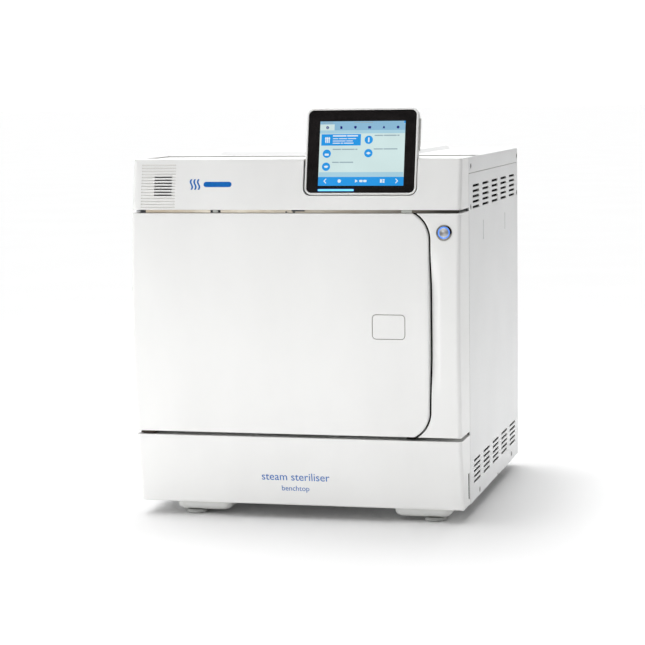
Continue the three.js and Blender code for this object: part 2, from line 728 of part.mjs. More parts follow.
const STEAM_ROUTE = [
  [172, 330, 401],
  [172, 333, 418],
  [168, 360, 428],
  [140, 420, 422],
  [80, 464, 396],
  [20, 474, 352],
  [-12, 466, 334],
  [-20, 456, 330],
  [-20, 442.5, 330],
];

const TRAY_FLOOR = BODY_LOW + SHEET + TOUCH; // where the parts in the base tray stand
const PUMP = { y: 200, z: 66, motor: [-170, -60], radius: 36, cap: 30, head: [-60 + TOUCH, -8] };

// The vacuum pump's motor: a round body with a smaller end cap, on a foot.
function pumpMotor() {
  const axis = [PUMP.y, PUMP.z];
  const [end] = PUMP.motor;
  return join(
    rod("x", PUMP.motor, axis, PUMP.radius),
    rod("x", [end - 6, end + 10], axis, PUMP.cap),
    block([-140, -90], around(PUMP.y, 60), [TRAY_FLOOR, 50]),
  );
}

// The diaphragm head, with its suction and pressure stubs on top.
function pumpHead() {
  const top = PUMP.z + PUMP.radius;
  const stubs = [-16, 16].map((offset) => rod("z", [top - 2, top + 14], [-34, PUMP.y + offset], 6, 12));
  return join(block(PUMP.head, around(PUMP.y, 68), [PUMP.z - PUMP.radius, top]), ...stubs);
}

// Upright fins between a top and a bottom header, in front of the fan.
function condenser() {
  const x = around(FAN.x, FAN.size);
  const y = [FAN.y - 36, FAN.y - 4];
  const z = around(FAN.z, FAN.size - 4);
  const header = 12;
  const fins = 9;
  const finThick = 1.5;
  const margin = 4;
  const pitch = (FAN.size - 2 * margin) / (fins - 1);
  const pieces = [block(x, y, [z[0], z[0] + header]), block(x, y, [z[1] - header, z[1]])];
  for (let i = 0; i < fins; i++) {
    pieces.push(block(around(x[0] + margin + i * pitch, finThick), y, z));
  }
  return join(...pieces);
}

const FAN_HUB_RADIUS = 18;

function fanFrame() {
  const x = around(FAN.x, FAN.size);
  const z = around(FAN.z, FAN.size);
  const y = [FAN.y, FAN.y + FAN.thick];
  const bore = 43.5;
  const ring = cut(block(x, y, z), rod("y", past(y), [FAN.x, FAN.z], bore, 32));
  const strutY = [y[1] - 4, y[1]];
  const hub = rod("y", strutY, [FAN.x, FAN.z], FAN_HUB_RADIUS);
  const struts = [0, 1, 2].map((i) =>
    block([0, bore + 0.5], strutY, [-2, 2])
      .rotateY((i * 2 * Math.PI) / 3)
      .translate(FAN.x, 0, FAN.z),
  );
  return join(ring, hub, ...struts);
}

function fanRotor() {
  const blades = 7;
  const pitch = THREE.MathUtils.degToRad(38);
  const blade = { span: 26, thick: 1.6, chord: 19, middle: 29 };
  const y = [FAN.y + 2, FAN.y + 18];
  const pieces = [rod("y", y, [0, 0], FAN_HUB_RADIUS)];
  for (let i = 0; i < blades; i++) {
    const plate = new THREE.BoxGeometry(blade.span, blade.thick, blade.chord);
    plate.rotateX(pitch).translate(blade.middle, middle(y), 0);
    pieces.push(plate.rotateY((i * 2 * Math.PI) / blades));
  }
  return join(...pieces).translate(FAN.x, 0, FAN.z);
}

// The feed-water pump: a motor lying in front of its square pump head.
function feedPump() {
  const x = 180;
  const motor = { y: [120, 185], z: 52, radius: 20 };
  const head = { y: [184, 214], top: 74, width: 40 };
  return join(
    rod("y", motor.y, [x, motor.z], motor.radius, 20),
    block(around(x, head.width), head.y, [TRAY_FLOOR, head.top]),
  );
}

// The brass valve block with its three solenoid coils.
function valveBlock() {
  const body = { x: [140, 214], y: [104, 130], z: [232, 312] };
  const coil = { x: 178, y: [128, 165], radius: 10, pitch: 24 };
  const coils = [-1, 0, 1].map((step) =>
    rod("y", coil.y, [coil.x, middle(body.z) + step * coil.pitch], coil.radius, 16),
  );
  return join(block(body.x, body.y, body.z), ...coils);
}

const STERILE_FILTER = { x: -192, y: 140 };

function sterileFilter() {
  const profile = [
    [0, 64],
    [7, 64],
    [7, 76],
    [24, 80],
    [24, 132],
    [7, 138],
    [7, 150],
    [0, 150],
  ];
  return turned("z", profile, [STERILE_FILTER.x, STERILE_FILTER.y], 16);
}

// A threaded hose coupling through the rear panel, with a collar and a barbed spigot.
function hoseCoupling({ x, z }) {
  const profile = [
    [0, 480],
    [9, 480],
    [9, BODY_BACK + TOUCH],
    [13, BODY_BACK + TOUCH],
    [13, 504],
    [8, 504],
    [8, 514],
    [9.5, 516],
    [8, 522],
    [9.5, 524],
    [7, DEPTH],
    [0, DEPTH],
  ];
  return turned("y", profile, [x, z], 14);
}

const VALVE_PROFILE = [
  [0, 462],
  [9, 462],
  [9, 478],
  [14, 478],
  [14, 490],
  [9, 490],
  [9, 514],
  [0, 514],
];

const VALVE_CAP_PROFILE = [
  [9.6, 505],
  [14, 505],
  [14, 524],
  [12, 527],
  [0, 527],
  [0, 516],
  [9.6, 516],
  [9.6, 505],
];

const valveAxis = [SAFETY_VALVE.x, SAFETY_VALVE.z];
add("steam_generator", turned("z", GENERATOR_PROFILE, [GENERATOR.x, GENERATOR.y], 20), BRUSHED_STEEL);
add("steam_pipe", pipe(STEAM_ROUTE, 4, 24), BRUSHED_STEEL);
add("vacuum_pump_motor", pumpMotor(), ALUMINIUM);
add("vacuum_pump_head", pumpHead(), DARK_PLASTIC);
add("condenser", condenser(), ALUMINIUM);
add("fan_frame", fanFrame(), DARK_PLASTIC);
add("fan_rotor", fanRotor(), DARK_PLASTIC);
add("feed_pump", feedPump(), DARK_PLASTIC);
add("valve_block", valveBlock(), BRASS);
add("sterile_filter", sterileFilter(), MOULDED_WHITE);
add("drain_coupling", hoseCoupling(DRAIN), BRASS);
add("feed_coupling", hoseCoupling(FEED), BRASS);
add("safety_valve_body", turned("y", VALVE_PROFILE, valveAxis, 16), BRASS);
add("safety_valve_cap", turned("y", VALVE_CAP_PROFILE, valveAxis, 16), DARK_PLASTIC);

// ---------------------------------------------------------------- electrical parts

const BOARD = { x: [-150, 60], y: [220, 420], z: [426, 427.6] };

// The control board, with its transformer, relays and connectors standing on it.
function controlBoard() {
  const top = BOARD.z[1];
  const pieces = [block(BOARD.x, BOARD.y, BOARD.z)];
  const parts = [
    { x: [-140, -100], y: [230, 275], tall: 30 },
    { x: [-80, -62], y: [232, 262], tall: 16 },
    { x: [-50, -32], y: [232, 262], tall: 16 },
    { x: [-20, 30], y: [300, 350], tall: 6 },
    { x: [-120, -60], y: [396, 412], tall: 12 },
    { x: [-30, 40], y: [396, 412], tall: 12 },
  ];
  for (const { x, y, tall } of parts) {
    pieces.push(block(x, y, [top - 0.5, top + tall]));
  }
  return join(...pieces);
}

// The appliance inlet: a recess with three blades, behind a screwed flange.
function mainsInlet() {
  const { x, z } = MAINS;
  const back = BODY_BACK + TOUCH;
  const body = join(
    block(around(x, 50), [back, back + 3], around(z, 28)),
    block(around(x, 32), [470, back + 1], around(z, 22)),
  );
  const recess = block(around(x, 24.4), [478, back + 4], around(z, 16.2));
  const blades = [
    { x: -7, z: -2 },
    { x: 0, z: 2 },
    { x: 7, z: -2 },
  ].map((at) => block(around(x + at.x, 2), [477, 492], around(z + at.z, 4)));
  return join(cut(body, recess), ...blades);
}

function dataPort() {
  const { x, z } = DATA;
  const body = block(around(x, 16), [480, BODY_BACK + 1.5], around(z, 14));
  return cut(body, block(around(x, 12), [484, BODY_BACK + 3], around(z, 8.4)));
}

const POWER_SUPPLY = { x: [100, 210], y: [190, 310], z: [415, 456] };

const ROCKER_TILT = THREE.MathUtils.degToRad(8);
const ROCKER_AXIS_X = 217.4;
const ROCKER_DEPTH = SWITCH.width - 4.4;
const SWITCH_FRAME = { x: [212, HALF - 0.1], web: 2, rim: 1.8 };

function mainsSwitchFrame() {
  const { x, web, rim } = SWITCH_FRAME;
  const outer = block(
    x,
    around(SWITCH.y, SWITCH.width - 2 * TOUCH),
    around(SWITCH.z, SWITCH.height - 2 * TOUCH),
  );
  const window = block(
    [x[0] + web, HALF + PAST],
    around(SWITCH.y, SWITCH.width - 2 * rim),
    around(SWITCH.z, SWITCH.height - 2 * rim),
  );
  return cut(outer, window);
}

// A shallow V seen from above its pivot, tilted with its lower half pressed in.
function mainsRocker() {
  const outline = new THREE.Shape();
  outline.moveTo(-2.5, -6);
  outline.lineTo(2.5, -6);
  outline.lineTo(5.2, -14.5);
  outline.lineTo(3.6, 0);
  outline.lineTo(5.2, 14.5);
  outline.lineTo(2.5, 6);
  outline.lineTo(-2.5, 6);
  const rocker = extrude(outline, ROCKER_DEPTH, 1).rotateX(Math.PI / 2);
  rocker.rotateY(ROCKER_TILT);
  return rocker.translate(ROCKER_AXIS_X, SWITCH.y + ROCKER_DEPTH / 2, SWITCH.z);
}

add("control_board", controlBoard(), CIRCUIT_GREEN);
add("power_supply", block(POWER_SUPPLY.x, POWER_SUPPLY.y, POWER_SUPPLY.z), ALUMINIUM);
add("mains_inlet", mainsInlet(), DARK_PLASTIC);
add("data_port", dataPort(), BRUSHED_STEEL);
add("mains_switch_frame", mainsSwitchFrame(), DARK_PLASTIC);
add("mains_rocker", mainsRocker(), DARK_PLASTIC);

// ---------------------------------------------------------------- power button

const BEZEL_PROFILE = [
  [0, 12],
  [7.9, 12],
  [7.9, -1.6],
  [9.6, -1.6],
  [10.4, -0.8],
  [10.4, -0.3],
  [8.9, -0.3],
  [8.9, 14],
  [0, 14],
];

const BUTTON_RING_PROFILE = [
  [6.3, -1.2],
  [7.6, -1.2],
  [7.6, 4],
  [6.3, 4],
  [6.3, -1.2],
];

const BUTTON_CAP_PROFILE = [
  [0, -1.5],
  [5.6, -1.5],
  [6, -1.1],
  [6, 5],
  [0, 5],
];

add("power_button_bezel", turned("y", BEZEL_PROFILE, [0, 0], 24), CHROME, powerButton);
add("power_button_ring", turned("y", BUTTON_RING_PROFILE, [0, 0], 24), LIGHT_GUIDE, powerButton);
add("power_button_cap", turned("y", BUTTON_CAP_PROFILE, [0, 0], 24), BRUSHED_STEEL, powerButton);

// ---------------------------------------------------------------- display

const LIGHT_BAR = { x: [-57, -8.3], z: [2.2, 4.8] };
const CARD = { z: [57, 99.8], y: [5, 8.3], length: 36.4, proud: 2, play: 0.4 };
const HOUSING_RIGHT = GLASS.width / 2 + DISPLAY_RIM;

function glassOutline(grow) {
  const half = GLASS.width / 2 + grow;
  return roundedRect([-half, half], [-grow, GLASS.height + grow], GLASS.corner + grow);
}

// The white front housing, rebated for the glass and slotted on its right side for a memory card.
function displayHousing() {
  const lip = 0.6; // the housing stands this far in front of the glass
  const body = extrudeBack(glassOutline(DISPLAY_RIM), [-lip, DISPLAY_DEPTH]);
  const rebate = extrudeBack(glassOutline(TOUCH), [-lip - PAST, GLASS.thick + TOUCH]);
  const cardSlot = block(
    [HOUSING_RIGHT - CARD.length, HOUSING_RIGHT + PAST],
    [CARD.y[0] - CARD.play, CARD.y[1] + CARD.play],
    [CARD.z[0] - CARD.play, CARD.z[1] + CARD.play],
  );
  return cut(body, rebate, cardSlot);
}

function displayRearShell() {
  const inset = 4;
  const deep = 11;
  const half = GLASS.width / 2 - inset;
  const outline = roundedRect([-half, half], [inset, GLASS.height - inset], 8);
  return extrudeBack(outline, [DISPLAY_DEPTH + TOUCH, DISPLAY_DEPTH + deep]);
}

function displayGlass() {
  const pane = extrudeBack(glassOutline(0), [0, GLASS.thick]);
  const window = block(
    [LIGHT_BAR.x[0] - TOUCH, LIGHT_BAR.x[1] + TOUCH],
    past([0, GLASS.thick]),
    [LIGHT_BAR.z[0] - TOUCH, LIGHT_BAR.z[1] + TOUCH],
  );
  return cut(pane, window);
}

function memoryCard() {
  const right = HOUSING_RIGHT + CARD.proud;
  return block([right - CARD.length, right], CARD.y, CARD.z);
}

add("display_housing", displayHousing(), MOULDED_WHITE, display);
add("display_rear_shell", displayRearShell(), GREY_PLASTIC, display);
add("display_glass", displayGlass(), BLACK_GLASS, display);
add("status_light_bar", block(LIGHT_BAR.x, [-0.1, GLASS.thick], LIGHT_BAR.z), LIGHT_GUIDE, display);
add("memory_card", memoryCard(), GREY_PLASTIC, display);

const autoclave = new THREE.Group();
autoclave.add(machine);

export default autoclave;
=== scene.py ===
"""The looks of a benchtop steam steriliser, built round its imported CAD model.

Shapes are drawn in machine space: millimetres, with x across, y the depth behind the door's
foremost line, and z up. show() carries each finished mesh into the row frame, in metres.
"""

import json
import math

import bmesh
import bpy
from mathutils import Matrix, Vector

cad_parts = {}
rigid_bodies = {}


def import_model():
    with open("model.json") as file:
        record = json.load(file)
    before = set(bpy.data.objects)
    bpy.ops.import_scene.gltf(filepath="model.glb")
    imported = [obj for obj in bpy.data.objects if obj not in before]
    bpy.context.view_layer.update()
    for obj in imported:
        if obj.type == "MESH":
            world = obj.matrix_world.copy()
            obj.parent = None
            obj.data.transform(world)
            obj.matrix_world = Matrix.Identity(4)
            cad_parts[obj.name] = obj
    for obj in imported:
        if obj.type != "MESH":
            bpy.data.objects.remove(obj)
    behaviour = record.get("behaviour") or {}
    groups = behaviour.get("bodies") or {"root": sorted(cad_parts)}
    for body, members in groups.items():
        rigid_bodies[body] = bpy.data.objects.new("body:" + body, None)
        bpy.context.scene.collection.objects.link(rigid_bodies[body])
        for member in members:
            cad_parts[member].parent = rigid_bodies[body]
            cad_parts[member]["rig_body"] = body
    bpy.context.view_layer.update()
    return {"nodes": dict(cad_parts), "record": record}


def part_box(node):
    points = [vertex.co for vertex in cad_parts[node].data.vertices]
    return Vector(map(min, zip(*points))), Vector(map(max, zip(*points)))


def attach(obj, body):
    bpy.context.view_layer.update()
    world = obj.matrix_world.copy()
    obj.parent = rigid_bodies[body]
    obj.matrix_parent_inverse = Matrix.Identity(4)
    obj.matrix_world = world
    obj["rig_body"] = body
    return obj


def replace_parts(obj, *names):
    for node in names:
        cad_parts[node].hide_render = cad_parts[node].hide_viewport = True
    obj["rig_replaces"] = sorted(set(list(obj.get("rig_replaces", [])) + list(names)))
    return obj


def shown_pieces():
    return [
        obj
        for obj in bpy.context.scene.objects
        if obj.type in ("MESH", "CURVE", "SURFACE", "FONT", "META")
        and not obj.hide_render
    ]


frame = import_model()

MM = 0.001
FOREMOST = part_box("door_shell")[0].y
MACHINE = Matrix.Translation((0, FOREMOST, 0)) @ Matrix.Scale(MM, 4)


def extent(node):
    """The lowest and highest corners of a CAD node, in machine space."""
    low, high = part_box(node)
    back = MACHINE.inverted()
    return back @ low, back @ high


# ---------------------------------------------------------------- driving dimensions

FRONT_RADIUS = 1029  # the front bulges as a shallow barrel when seen from the side
FRONT_CREST_Z = 260
WALL = 3
SHEET = 2
CORNER = 6  # radius of the moulded front's upright corners
SOFT_EDGE = 1.2
CRISP_EDGE = 0.4
TOUCH = 0.3  # the gap between two pieces that meet

HALF = extent("lid")[1].x
HOOD = extent("hood")
PANEL = extent("lower_front_panel")
DOOR = extent("door_shell")
COLUMN = extent("front_column")
SIDE = extent("side_panel_right")
SEAM_DEPTH = PANEL[1].y
CABINET_BACK = SIDE[1].y

DOOR_CORNER = 40
DOOR_CORNER_HEIGHT = 35.6  # how much of the corner's radius lies below the door's top edge
DOOR_BOW = 1.6
DOOR_RIGHT = DOOR[1].x - DOOR_BOW
DOOR_GAP = 2.3
DOOR_SKIRT = 42

LEAN = math.radians(12.6)
GLASS = {"width": 145.3, "height": 110.5, "corner": 7, "thick": 1.4}
DISPLAY = Matrix.Translation((89.2, 18, 440.8)) @ Matrix.Rotation(-LEAN, 4, "X")
DISPLAY_RIM = 3
DISPLAY_DEPTH = 13
CRADLE_GAP = 1.2

CHAMBER = (-20, 266)


def front_depth(z):
    """Depth of the barrelled front at a height."""
    return FRONT_RADIUS - math.sqrt(FRONT_RADIUS**2 - (z - FRONT_CREST_Z) ** 2)


def front_lean(z):
    """How far the front leans back at a height."""
    return math.asin((z - FRONT_CREST_Z) / FRONT_RADIUS)


BUTTON_X, BUTTON_Z = 203.3, 389
BUTTON = Matrix.Translation((BUTTON_X, front_depth(BUTTON_Z), BUTTON_Z)) @ Matrix.Rotation(
    -front_lean(BUTTON_Z), 4, "X"
)

# ---------------------------------------------------------------- finishes


class Finish:
    """A Principled material whose patterns lie in the piece's own space, in metres."""

    def __init__(self, name, **uniform):
        self.material = bpy.data.materials.new(name)
        self.material.use_nodes = True
        self.nodes = self.material.node_tree.nodes
        self.shader = self.nodes["Principled BSDF"]
        for socket, value in uniform.items():
            self.shader.inputs[socket.replace("_", " ")].default_value = value
        self.place = self.nodes.new("ShaderNodeTexCoord").outputs["Object"]

    def link(self, output, socket):
        self.material.node_tree.links.new(output, socket)
        return output

    def pattern(self, grain, detail=2.0, stretch=(1, 1, 1), kind="ShaderNodeTexNoise"):
        """A pattern whose cells are about grain millimetres across, longer where stretched."""
        mapping = self.nodes.new("ShaderNodeMapping")
        mapping.inputs["Scale"].default_value = [1 / (grain * MM * s) for s in stretch]
        self.link(self.place, mapping.inputs["Vector"])
        texture = self.nodes.new(kind)
        texture.inputs["Scale"].default_value = 1.0
        if kind == "ShaderNodeTexNoise":
            texture.inputs["Detail"].default_value = detail
        self.link(mapping.outputs["Vector"], texture.inputs["Vector"])
        return texture.outputs["Distance" if kind == "ShaderNodeTexVoronoi" else 0]

    def range(self, value, low, high, from_low=0.3, from_high=0.7):
        """The value spread between two limits."""
        node = self.nodes.new("ShaderNodeMapRange")
        node.inputs["From Min"].default_value = from_low
        node.inputs["From Max"].default_value = from_high
        node.inputs["To Min"].default_value = low
        node.inputs["To Max"].default_value = high
        self.link(value, node.inputs["Value"])
        return node.outputs["Result"]

    def mix(self, factor, first, second):
        """A colour between two others, each a colour or another node's output."""
        node = self.nodes.new("ShaderNodeMix")
        node.data_type = "RGBA"
        self.link(factor, node.inputs["Factor"])
        for socket, colour in (("A", first), ("B", second)):
            target = [s for s in node.inputs if s.name == socket and s.type == "RGBA"][0]
            if isinstance(colour, bpy.types.NodeSocket):
                self.link(colour, target)
            else:
                target.default_value = (*colour, 1)
        return [s for s in node.outputs if s.type == "RGBA"][0]

    def crevices(self, reach):
        """Painted shade from ambient occlusion: 0 in the open and 1 deep in corners and seams closer than reach
        millimetres.
        """
        node = self.nodes.new("ShaderNodeAmbientOcclusion")
        node.samples = 6
        node.inputs["Distance"].default_value = reach * MM
        return self.range(node.outputs["AO"], 1, 0, 0.35, 0.95)

    def along(self, axis):
        """The piece's own coordinate along an axis, in metres."""
        node = self.nodes.new("ShaderNodeSeparateXYZ")
        self.link(self.place, node.inputs["Vector"])
        return node.outputs[axis]

    def rings(self, centre, grain):
        """A pattern of fine rings round an axis along Y through the centre, in machine x and z."""
        node = self.nodes.new("ShaderNodeVectorMath")
        node.operation = "MULTIPLY_ADD"
        node.inputs[1].default_value = (1, 0, 1)
        node.inputs[2].default_value = (-centre[0] * MM, 0, -centre[1] * MM)
        self.link(self.place, node.inputs[0])
        radius = self.nodes.new("ShaderNodeVectorMath")
        radius.operation = "LENGTH"
        self.link(node.outputs["Vector"], radius.inputs[0])
        texture = self.nodes.new("ShaderNodeTexNoise")
        texture.noise_dimensions = "1D"
        texture.inputs["Scale"].default_value = 1 / (grain * MM)
        texture.inputs["Detail"].default_value = 3
        self.link(radius.outputs["Value"], texture.inputs["W"])
        return texture.outputs[0]

    def colour(self, output):
        self.link(output, self.shader.inputs["Base Color"])

    def roughness(self, output):
        self.link(output, self.shader.inputs["Roughness"])

    def relief(self, *layers):
        """Bumps, each a pattern with its height in millimetres and its strength."""
        normal = None
        for pattern, height, strength in layers:
            bump = self.nodes.new("ShaderNodeBump")
            bump.inputs["Distance"].default_value = height * MM
            bump.inputs["Strength"].default_value = strength
            self.link(pattern, bump.inputs["Height"])
            if normal:
                self.link(normal, bump.inputs["Normal"])
            normal = bump.outputs["Normal"]
        self.link(normal, self.shader.inputs["Normal"])


def shade_of(colour, amount):
    """The colour made lighter or darker by a factor."""
    return tuple(min(1.0, c * amount) for c in colour)


def moulded(name, colour, grain=0.7, gloss=(0.34, 0.44), relief=0.02):
    """Injection-moulded plastic: a fine spark-eroded grain, faint flow shading and painted shade in its seams."""
    made = Finish(name, IOR=1.5)
    flow = made.pattern(90, 3, (1, 1, 2.5))
    handling = made.pattern(14, 4)
    base = made.mix(made.range(flow, 0, 1), shade_of(colour, 0.975), shade_of(colour, 1.02))
    # painted shade: a darker, warmer tone where the occlusion mask finds corners and seams
    seam_shade = (colour[0] * 0.62, colour[1] * 0.60, colour[2] * 0.55)
    made.colour(made.mix(made.crevices(2.5), base, seam_shade))
    made.roughness(made.range(handling, *gloss))
    made.relief((made.pattern(grain, 2), relief, 0.35), (made.pattern(35, 2), 0.05, 0.12))
    return made.material


def powder_coat():
    """Powder-coated sheet: orange peel under a fine speckle, with painted shade along the folds."""
    colour = (0.745, 0.75, 0.75)
    made = Finish("powder_coat", IOR=1.5, Metallic=0.0)
    drift = made.pattern(120, 3)
    peel = made.pattern(2.2, 2)
    speckle = made.pattern(0.5, 1)
    base = made.mix(made.range(drift, 0, 1), shade_of(colour, 0.965), shade_of(colour, 1.02))
    fine = made.mix(made.range(speckle, 0, 0.12), base, shade_of(colour, 0.8))
    # painted shade: dark grey deep in folds and seams, from the occlusion mask
    made.colour(made.mix(made.crevices(3), fine, (0.36, 0.35, 0.33)))
    made.roughness(made.range(peel, 0.38, 0.52))
    made.relief((peel, 0.03, 0.5), (speckle, 0.012, 0.4))
    return made.material


def dark_moulded():
    made = Finish("dark_moulded", IOR=1.5)
    wear = made.pattern(9, 4)
    made.colour(made.mix(made.range(wear, 0, 1), (0.012, 0.012, 0.014), (0.026, 0.026, 0.028)))
    made.roughness(made.range(wear, 0.36, 0.55))
    made.relief((made.pattern(0.6, 2), 0.03, 0.5))
    return made.material


def black_glass():
    """Cover glass printed black behind: deep, glossy and faintly smeared."""
    made = Finish("black_glass", IOR=1.52, Coat_Weight=0.6, Coat_Roughness=0.03)
    smear = made.pattern(30, 4, (1, 1, 0.35))
    made.colour(made.mix(made.range(smear, 0, 1), (0.006, 0.005, 0.005), (0.013, 0.011, 0.011)))
    made.roughness(made.range(smear, 0.05, 0.14))
    made.relief((made.pattern(3, 2), 0.004, 0.2))
    return made.material


def lit(name, colour, strength, base=(0.02, 0.02, 0.02), roughness=(0.1, 0.2)):
    """A lit surface behind clear plastic, a little uneven as a real light guide is."""
    made = Finish(name, IOR=1.5, Emission_Strength=strength)
    uneven = made.pattern(11, 2)
    glow = made.mix(made.range(uneven, 0, 1), shade_of(colour, 0.93), shade_of(colour, 1.03))
    made.link(glow, made.shader.inputs["Emission Color"])
    made.colour(made.mix(made.range(uneven, 0, 1), base, shade_of(base, 1.3)))
    made.roughness(made.range(uneven, *roughness))
    made.relief((made.pattern(0.9, 1), 0.003, 0.2))
    return made.material


def chrome(name, colour):
    made = Finish(name, Metallic=1.0)
    smear = made.pattern(4, 3)
    made.colour(made.mix(made.range(smear, 0, 1), colour, shade_of(colour, 1.13)))
    made.roughness(made.range(smear, 0.05, 0.13))
    made.relief((made.pattern(0.8, 2), 0.002, 0.2))
    return made.material


def brushed(name, colour, stretch, gloss=(0.2, 0.36), grain=0.35):
    """Brushed metal with its scratches along the stretched axis."""
    made = Finish(name, Metallic=1.0, Anisotropic=0.45)
    scratches = made.pattern(grain, 3, stretch)
    stains = made.pattern(30, 4)
    base = made.mix(made.range(stains, 0, 1), shade_of(colour, 0.92), shade_of(colour, 1.05))
    made.colour(made.mix(made.range(scratches, 0, 0.25), base, shade_of(colour, 0.75)))
    made.roughness(made.range(scratches, *gloss))
    made.relief((scratches, 0.01, 0.35))
    return made.material


def turned_steel(name, centre, colour=(0.56, 0.57, 0.58), grain=0.5):
    """Steel with the rings that turning or spinning leaves round an axis along Y."""
    made = Finish(name, Metallic=1.0)
    rings = made.rings(centre, grain)
    stains = made.pattern(35, 4)
    base = made.mix(made.range(stains, 0, 1), shade_of(colour, 0.9), shade_of(colour, 1.06))
    made.colour(made.mix(made.range(rings, 0, 0.2), base, shade_of(colour, 0.7)))
    made.roughness(made.range(rings, 0.2, 0.34))
    made.relief((rings, 0.012, 0.35))
    return made.material


def button_steel():
    """The button's cap, spun so that its highlights fan out from the middle."""
    made = Finish("button_steel", Metallic=1.0, Anisotropic=0.9, Anisotropic_Rotation=0.25)
    rings = made.rings((BUTTON_X, BUTTON_Z), 0.25)
    tangent = made.nodes.new("ShaderNodeTangent")
    tangent.direction_type = "RADIAL"
    tangent.axis = "Y"
    made.link(tangent.outputs["Tangent"], made.shader.inputs["Tangent"])
    made.colour(made.mix(made.range(rings, 0, 1), (0.84, 0.84, 0.85), (0.95, 0.95, 0.96)))
    made.roughness(made.range(rings, 0.4, 0.52))
    made.relief((rings, 0.001, 0.1))
    return made.material


def rubber(name, colour, roughness=(0.62, 0.8)):
    made = Finish(name, IOR=1.45)
    bloom = made.pattern(12, 4)
    made.colour(made.mix(made.range(bloom, 0, 1), colour, shade_of(colour, 1.25)))
    made.roughness(made.range(bloom, *roughness))
    made.relief((made.pattern(0.8, 3), 0.05, 0.5))
    return made.material


def soot_black(name, colour):
    """A dull black that gives back hardly any light, even seen along its surface, used for painted shade."""
    made = Finish(name, IOR=1.3, Specular_IOR_Level=0.1)
    weave = made.pattern(1.2, 2)
    made.colour(made.mix(made.range(weave, 0, 1), colour, shade_of(colour, 2)))
    made.roughness(made.range(weave, 0.7, 0.9))
    made.relief((weave, 0.04, 0.5))
    return made.material


def insulation():
    made = Finish("insulation_blanket", IOR=1.3, Sheen_Weight=0.3)
    fibres = made.pattern(1.2, 5, (4, 1, 1))
    tufts = made.pattern(12, 4)
    base = made.mix(made.range(tufts, 0, 1), (0.52, 0.5, 0.44), (0.68, 0.66, 0.6))
    made.colour(made.mix(made.range(fibres, 0, 0.5), base, (0.42, 0.4, 0.36)))
    made.roughness(made.range(fibres, 0.85, 1.0))
    made.relief((fibres, 0.6, 0.7), (tufts, 2.0, 0.5))
    return made.material


def circuit_board():
    made = Finish("circuit_board", IOR=1.5)
    tracks = made.pattern(3, 0, (1, 6, 1), "ShaderNodeTexVoronoi")
    blotch = made.pattern(20, 3)
    base = made.mix(made.range(blotch, 0, 1), (0.012, 0.075, 0.03), (0.02, 0.11, 0.045))
    made.colour(made.mix(made.range(tracks, 0.5, 0, 0.0, 0.25), base, (0.05, 0.2, 0.08)))
    made.roughness(made.range(blotch, 0.3, 0.45))
    made.relief((tracks, 0.04, 0.4))
    return made.material


def gap_seal():
    """The foam strip behind the joint over the door: tan, with painted shade that darkens it towards the right."""
    made = Finish("seal_foam", IOR=1.4)
    blotch = made.pattern(22, 4, (2.5, 1, 1))
    # painted shade: the strip goes near-black towards the right, where the joint lies in shade
    sweep = made.range(made.along("X"), 0, 1, -0.05, 0.2)
    tan = made.mix(made.range(blotch, 0, 1), (0.42, 0.34, 0.24), (0.85, 0.8, 0.7))
    made.colour(made.mix(sweep, tan, (0.03, 0.027, 0.022)))
    made.roughness(made.range(blotch, 0.7, 0.9))
    made.relief((made.pattern(0.8, 3), 0.2, 0.6))
    return made.material


def printed(name, colour):
    """Screen-printed ink: a little uneven and slightly glossier than the plastic under it."""
    made = Finish(name, IOR=1.5)
    cover = made.pattern(3, 3)
    made.colour(made.mix(made.range(cover, 0, 1), shade_of(colour, 0.9), shade_of(colour, 1.1)))
    made.roughness(made.range(cover, 0.3, 0.42))
    made.relief((made.pattern(0.5, 1), 0.005, 0.3))
    return made.material


def picture(name, colour):
    """One colour of the lit screen, with the fine grid of its pixels and a slow drift in its brightness."""
    made = Finish(name, IOR=1.52, Emission_Strength=1.0, Coat_Weight=0.4, Coat_Roughness=0.04)
    drift = made.pattern(60, 2)
    grid = made.pattern(0.36, 0, (1, 1, 1), "ShaderNodeTexVoronoi")
    even = made.mix(made.range(drift, 0, 1), shade_of(colour, 0.94), shade_of(colour, 1.02))
    glow = made.mix(made.range(grid, 0, 0.12, 0.2, 0.8), even, shade_of(colour, 0.6))
    made.link(glow, made.shader.inputs["Emission Color"])
    made.colour(made.mix(made.range(drift, 0, 1), (0.01, 0.01, 0.012), (0.02, 0.02, 0.022)))
    made.roughness(made.range(drift, 0.06, 0.12))
    return made.material


WHITE = (0.80, 0.80, 0.79)
FINISHES = {
    "moulded_white": moulded("moulded_white", WHITE),
    "painted_sheet": powder_coat(),
    "grey_plastic": moulded("grey_plastic", (0.62, 0.625, 0.61), 0.9, (0.5, 0.62), 0.04),
    "dark_plastic": dark_moulded(),
    "black_glass": black_glass(),
    "light_guide": lit("light_guide", (0.2, 0.74, 1.0), 1.25),
    "chrome": chrome("chrome", (0.72, 0.73, 0.75)),
    "brushed_steel": brushed("brushed_steel", (0.56, 0.57, 0.58), (30, 1, 1)),
    "aluminium": brushed("satin_aluminium", (0.66, 0.67, 0.69), (1, 25, 1), (0.3, 0.45)),
    "brass": brushed("turned_brass", (0.66, 0.46, 0.18), (1, 1, 12), (0.22, 0.38)),
    "silicone": rubber("silicone", (0.5, 0.46, 0.39), (0.45, 0.62)),
    "rubber": rubber("rubber", (0.3, 0.305, 0.295)),
    "insulation": insulation(),
    "circuit_board": circuit_board(),
}
RING_BLUE = lit("ring_blue", (0.1, 0.3, 1.0), 1.25)
BUTTON_STEEL = button_steel()
BEZEL_CHROME = chrome("bezel_chrome", (0.2, 0.19, 0.18))
CHAMBER_STEEL = turned_steel("chamber_steel", CHAMBER)
